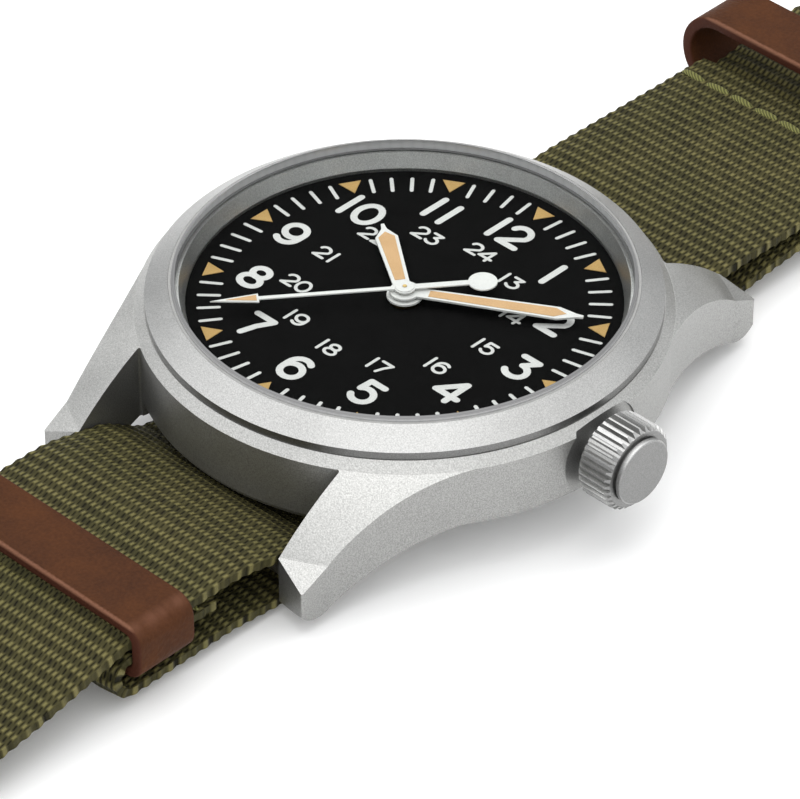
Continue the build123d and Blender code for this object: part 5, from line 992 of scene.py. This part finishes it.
def filledOutline(name, outlines, base, thick, bevel):
    # flat plates with softened edges
    data = bpy.data.curves.new(name, "CURVE")
    data.dimensions = "2D"
    data.fill_mode = "BOTH"
    data.extrude = (thick / 2 - bevel) * mm
    data.bevel_depth = bevel * mm
    data.bevel_resolution = 2
    data.offset = -bevel * mm
    for points in outlines:
        polySpline(data, [(x, y, 0) for x, y in points], closed=True)
    piece = meshFromCurve(name, data)
    piece.location = (0, 0, (base + thick / 2) * mm)
    settle(piece)
    cleanUp(piece)
    return piece


def turned(points, heading):
    cosine, sine = math.cos(math.radians(heading)), math.sin(math.radians(heading))
    return [(x * cosine - y * sine, x * sine + y * cosine) for x, y in points]


triangleLook = {"outline": [(14.78, -0.84), (14.78, 0.84), (13.38, 0)], "sunk": 0.005, "thick": 0.07,
                "bevel": 0.02}
triangles = [turned(triangleLook["outline"], 90 - 30 * hour) for hour in range(12)]
hourTriangles = filledOutline(
    "hourTriangles", triangles, dialTop - triangleLook["sunk"], triangleLook["thick"], triangleLook["bevel"]
)
finishPiece(hourTriangles, paints["lumeTan"], "watch", 40)

# "top" is the upper face of the hand that carries the filling
fillUsual = {"sunk": 0.01, "thick": 0.045, "bevel": 0.015}
fillLooks = {
    "hourLume": {"body": "hours", "heading": 145, "top": 10.10,
                 "outline": [(1.75, -0.38), (6.98, -0.6), (7.62, 0), (6.98, 0.6), (1.75, 0.38)]},
    "minuteLume": {"body": "minutes", "heading": 30.5, "top": 10.45,
                   "outline": [(1.8, -0.34), (10.95, -0.5), (11.78, 0), (10.95, 0.5), (1.8, 0.34)]},
    "secondLume": {"body": "seconds", "heading": -128.75, "top": 10.75,
                   "outline": [(10.6, -0.33), (12.8, 0), (10.6, 0.33)]},
}
for name, look in fillLooks.items():
    outline = turned(look["outline"], look["heading"])
    base = look["top"] - fillUsual["sunk"]
    filling = filledOutline(name, [outline], base, fillUsual["thick"], fillUsual["bevel"])
    finishPiece(filling, paints["lumePale"], look["body"], 40)
print("luminous fillings made")


# Floor, light and camera
floorLook = {"size": 4, "light": (0.93, 0.93, 0.93), "dark": (0.9, 0.9, 0.9), "cloud": 60.0, "rough": 0.7,
             "shine": 0.1, "glow": 0.08}
deselectAll()
bpy.ops.mesh.primitive_plane_add(size=floorLook["size"], location=(0, 0, 0))
floor = nameIt("floor")
floorMaterial, floorTree, floorShader = startMaterial("floorWhite", floorLook["light"], floorLook["rough"])
floorCloud = noiseOf(floorTree, pointInMm(floorTree), floorLook["cloud"])
floorShade = rampOf(floorTree, floorCloud, [(0.3, floorLook["dark"]), (0.7, floorLook["light"])])
floorTree.links.new(floorShade, floorShader.inputs["Base Color"])
floorShader.inputs["Specular IOR Level"].default_value = floorLook["shine"]
floorShader.inputs["Emission Color"].default_value = (1, 1, 1, 1)
floorShader.inputs["Emission Strength"].default_value = floorLook["glow"]
floor.data.materials.append(floorMaterial)

# a bright roof over a darker horizon: how high, and which colour
worldLook = {"strength": 1.4, "roof": [(0.0, (0.34, 0.345, 0.35)), (0.3, (0.5, 0.505, 0.51)),
                                       (0.62, (0.86, 0.865, 0.87)), (0.95, (1.0, 1.0, 1.0))]}
world = bpy.data.worlds.new("studio")
bpy.context.scene.world = world
world.use_nodes = True
worldTree = world.node_tree
heading = addNode(worldTree, "ShaderNodeTexCoord").outputs["Generated"]
upward = addNode(worldTree, "ShaderNodeSeparateXYZ", {0: heading}).outputs[2]
background = worldTree.nodes["Background"]
worldTree.links.new(rampOf(worldTree, upward, worldLook["roof"]), background.inputs["Color"])
background.inputs["Strength"].default_value = worldLook["strength"]

lightLooks = {
    "keyLight": {"at": (-0.16, 0.16, 1.1), "size": 1.4, "power": 4.6},
    "frontLight": {"at": (0.35, -0.45, 0.8), "size": 0.9, "power": 0.8},
    "sideLight": {"at": (-0.6, -0.35, 0.6), "size": 0.7, "power": 0.6},
}
for name, look in lightLooks.items():
    data = bpy.data.lights.new(name, "AREA")
    data.shape = "DISK"
    data.size = look["size"]
    data.energy = look["power"]
    lamp = addToScene(name, data)
    lamp.location = look["at"]
    lamp.rotation_euler = (-Vector(look["at"])).to_track_quat("-Z", "Y").to_euler()

cameraLook = {"at": (217.77, -224.22, 245.91), "azimuth": 44.226, "elevation": 38.13, "lens": 247.39,
              "sensor": 36}
cameraData = bpy.data.cameras.new("photoCamera")
cameraData.lens = cameraLook["lens"]
cameraData.sensor_width = cameraLook["sensor"]
cameraData.clip_start, cameraData.clip_end = 0.01, 20
camera = addToScene("photoCamera", cameraData)
aim, rise = math.radians(cameraLook["azimuth"]), math.radians(cameraLook["elevation"])
back = Vector((math.sin(aim) * math.cos(rise), -math.cos(aim) * math.cos(rise), math.sin(rise)))
camera.location = [value * mm for value in cameraLook["at"]]
camera.rotation_euler = (-back).to_track_quat("-Z", "Y").to_euler()
bpy.context.scene.camera = camera
bpy.context.scene.view_settings.view_transform = "Standard"
print("stage set")
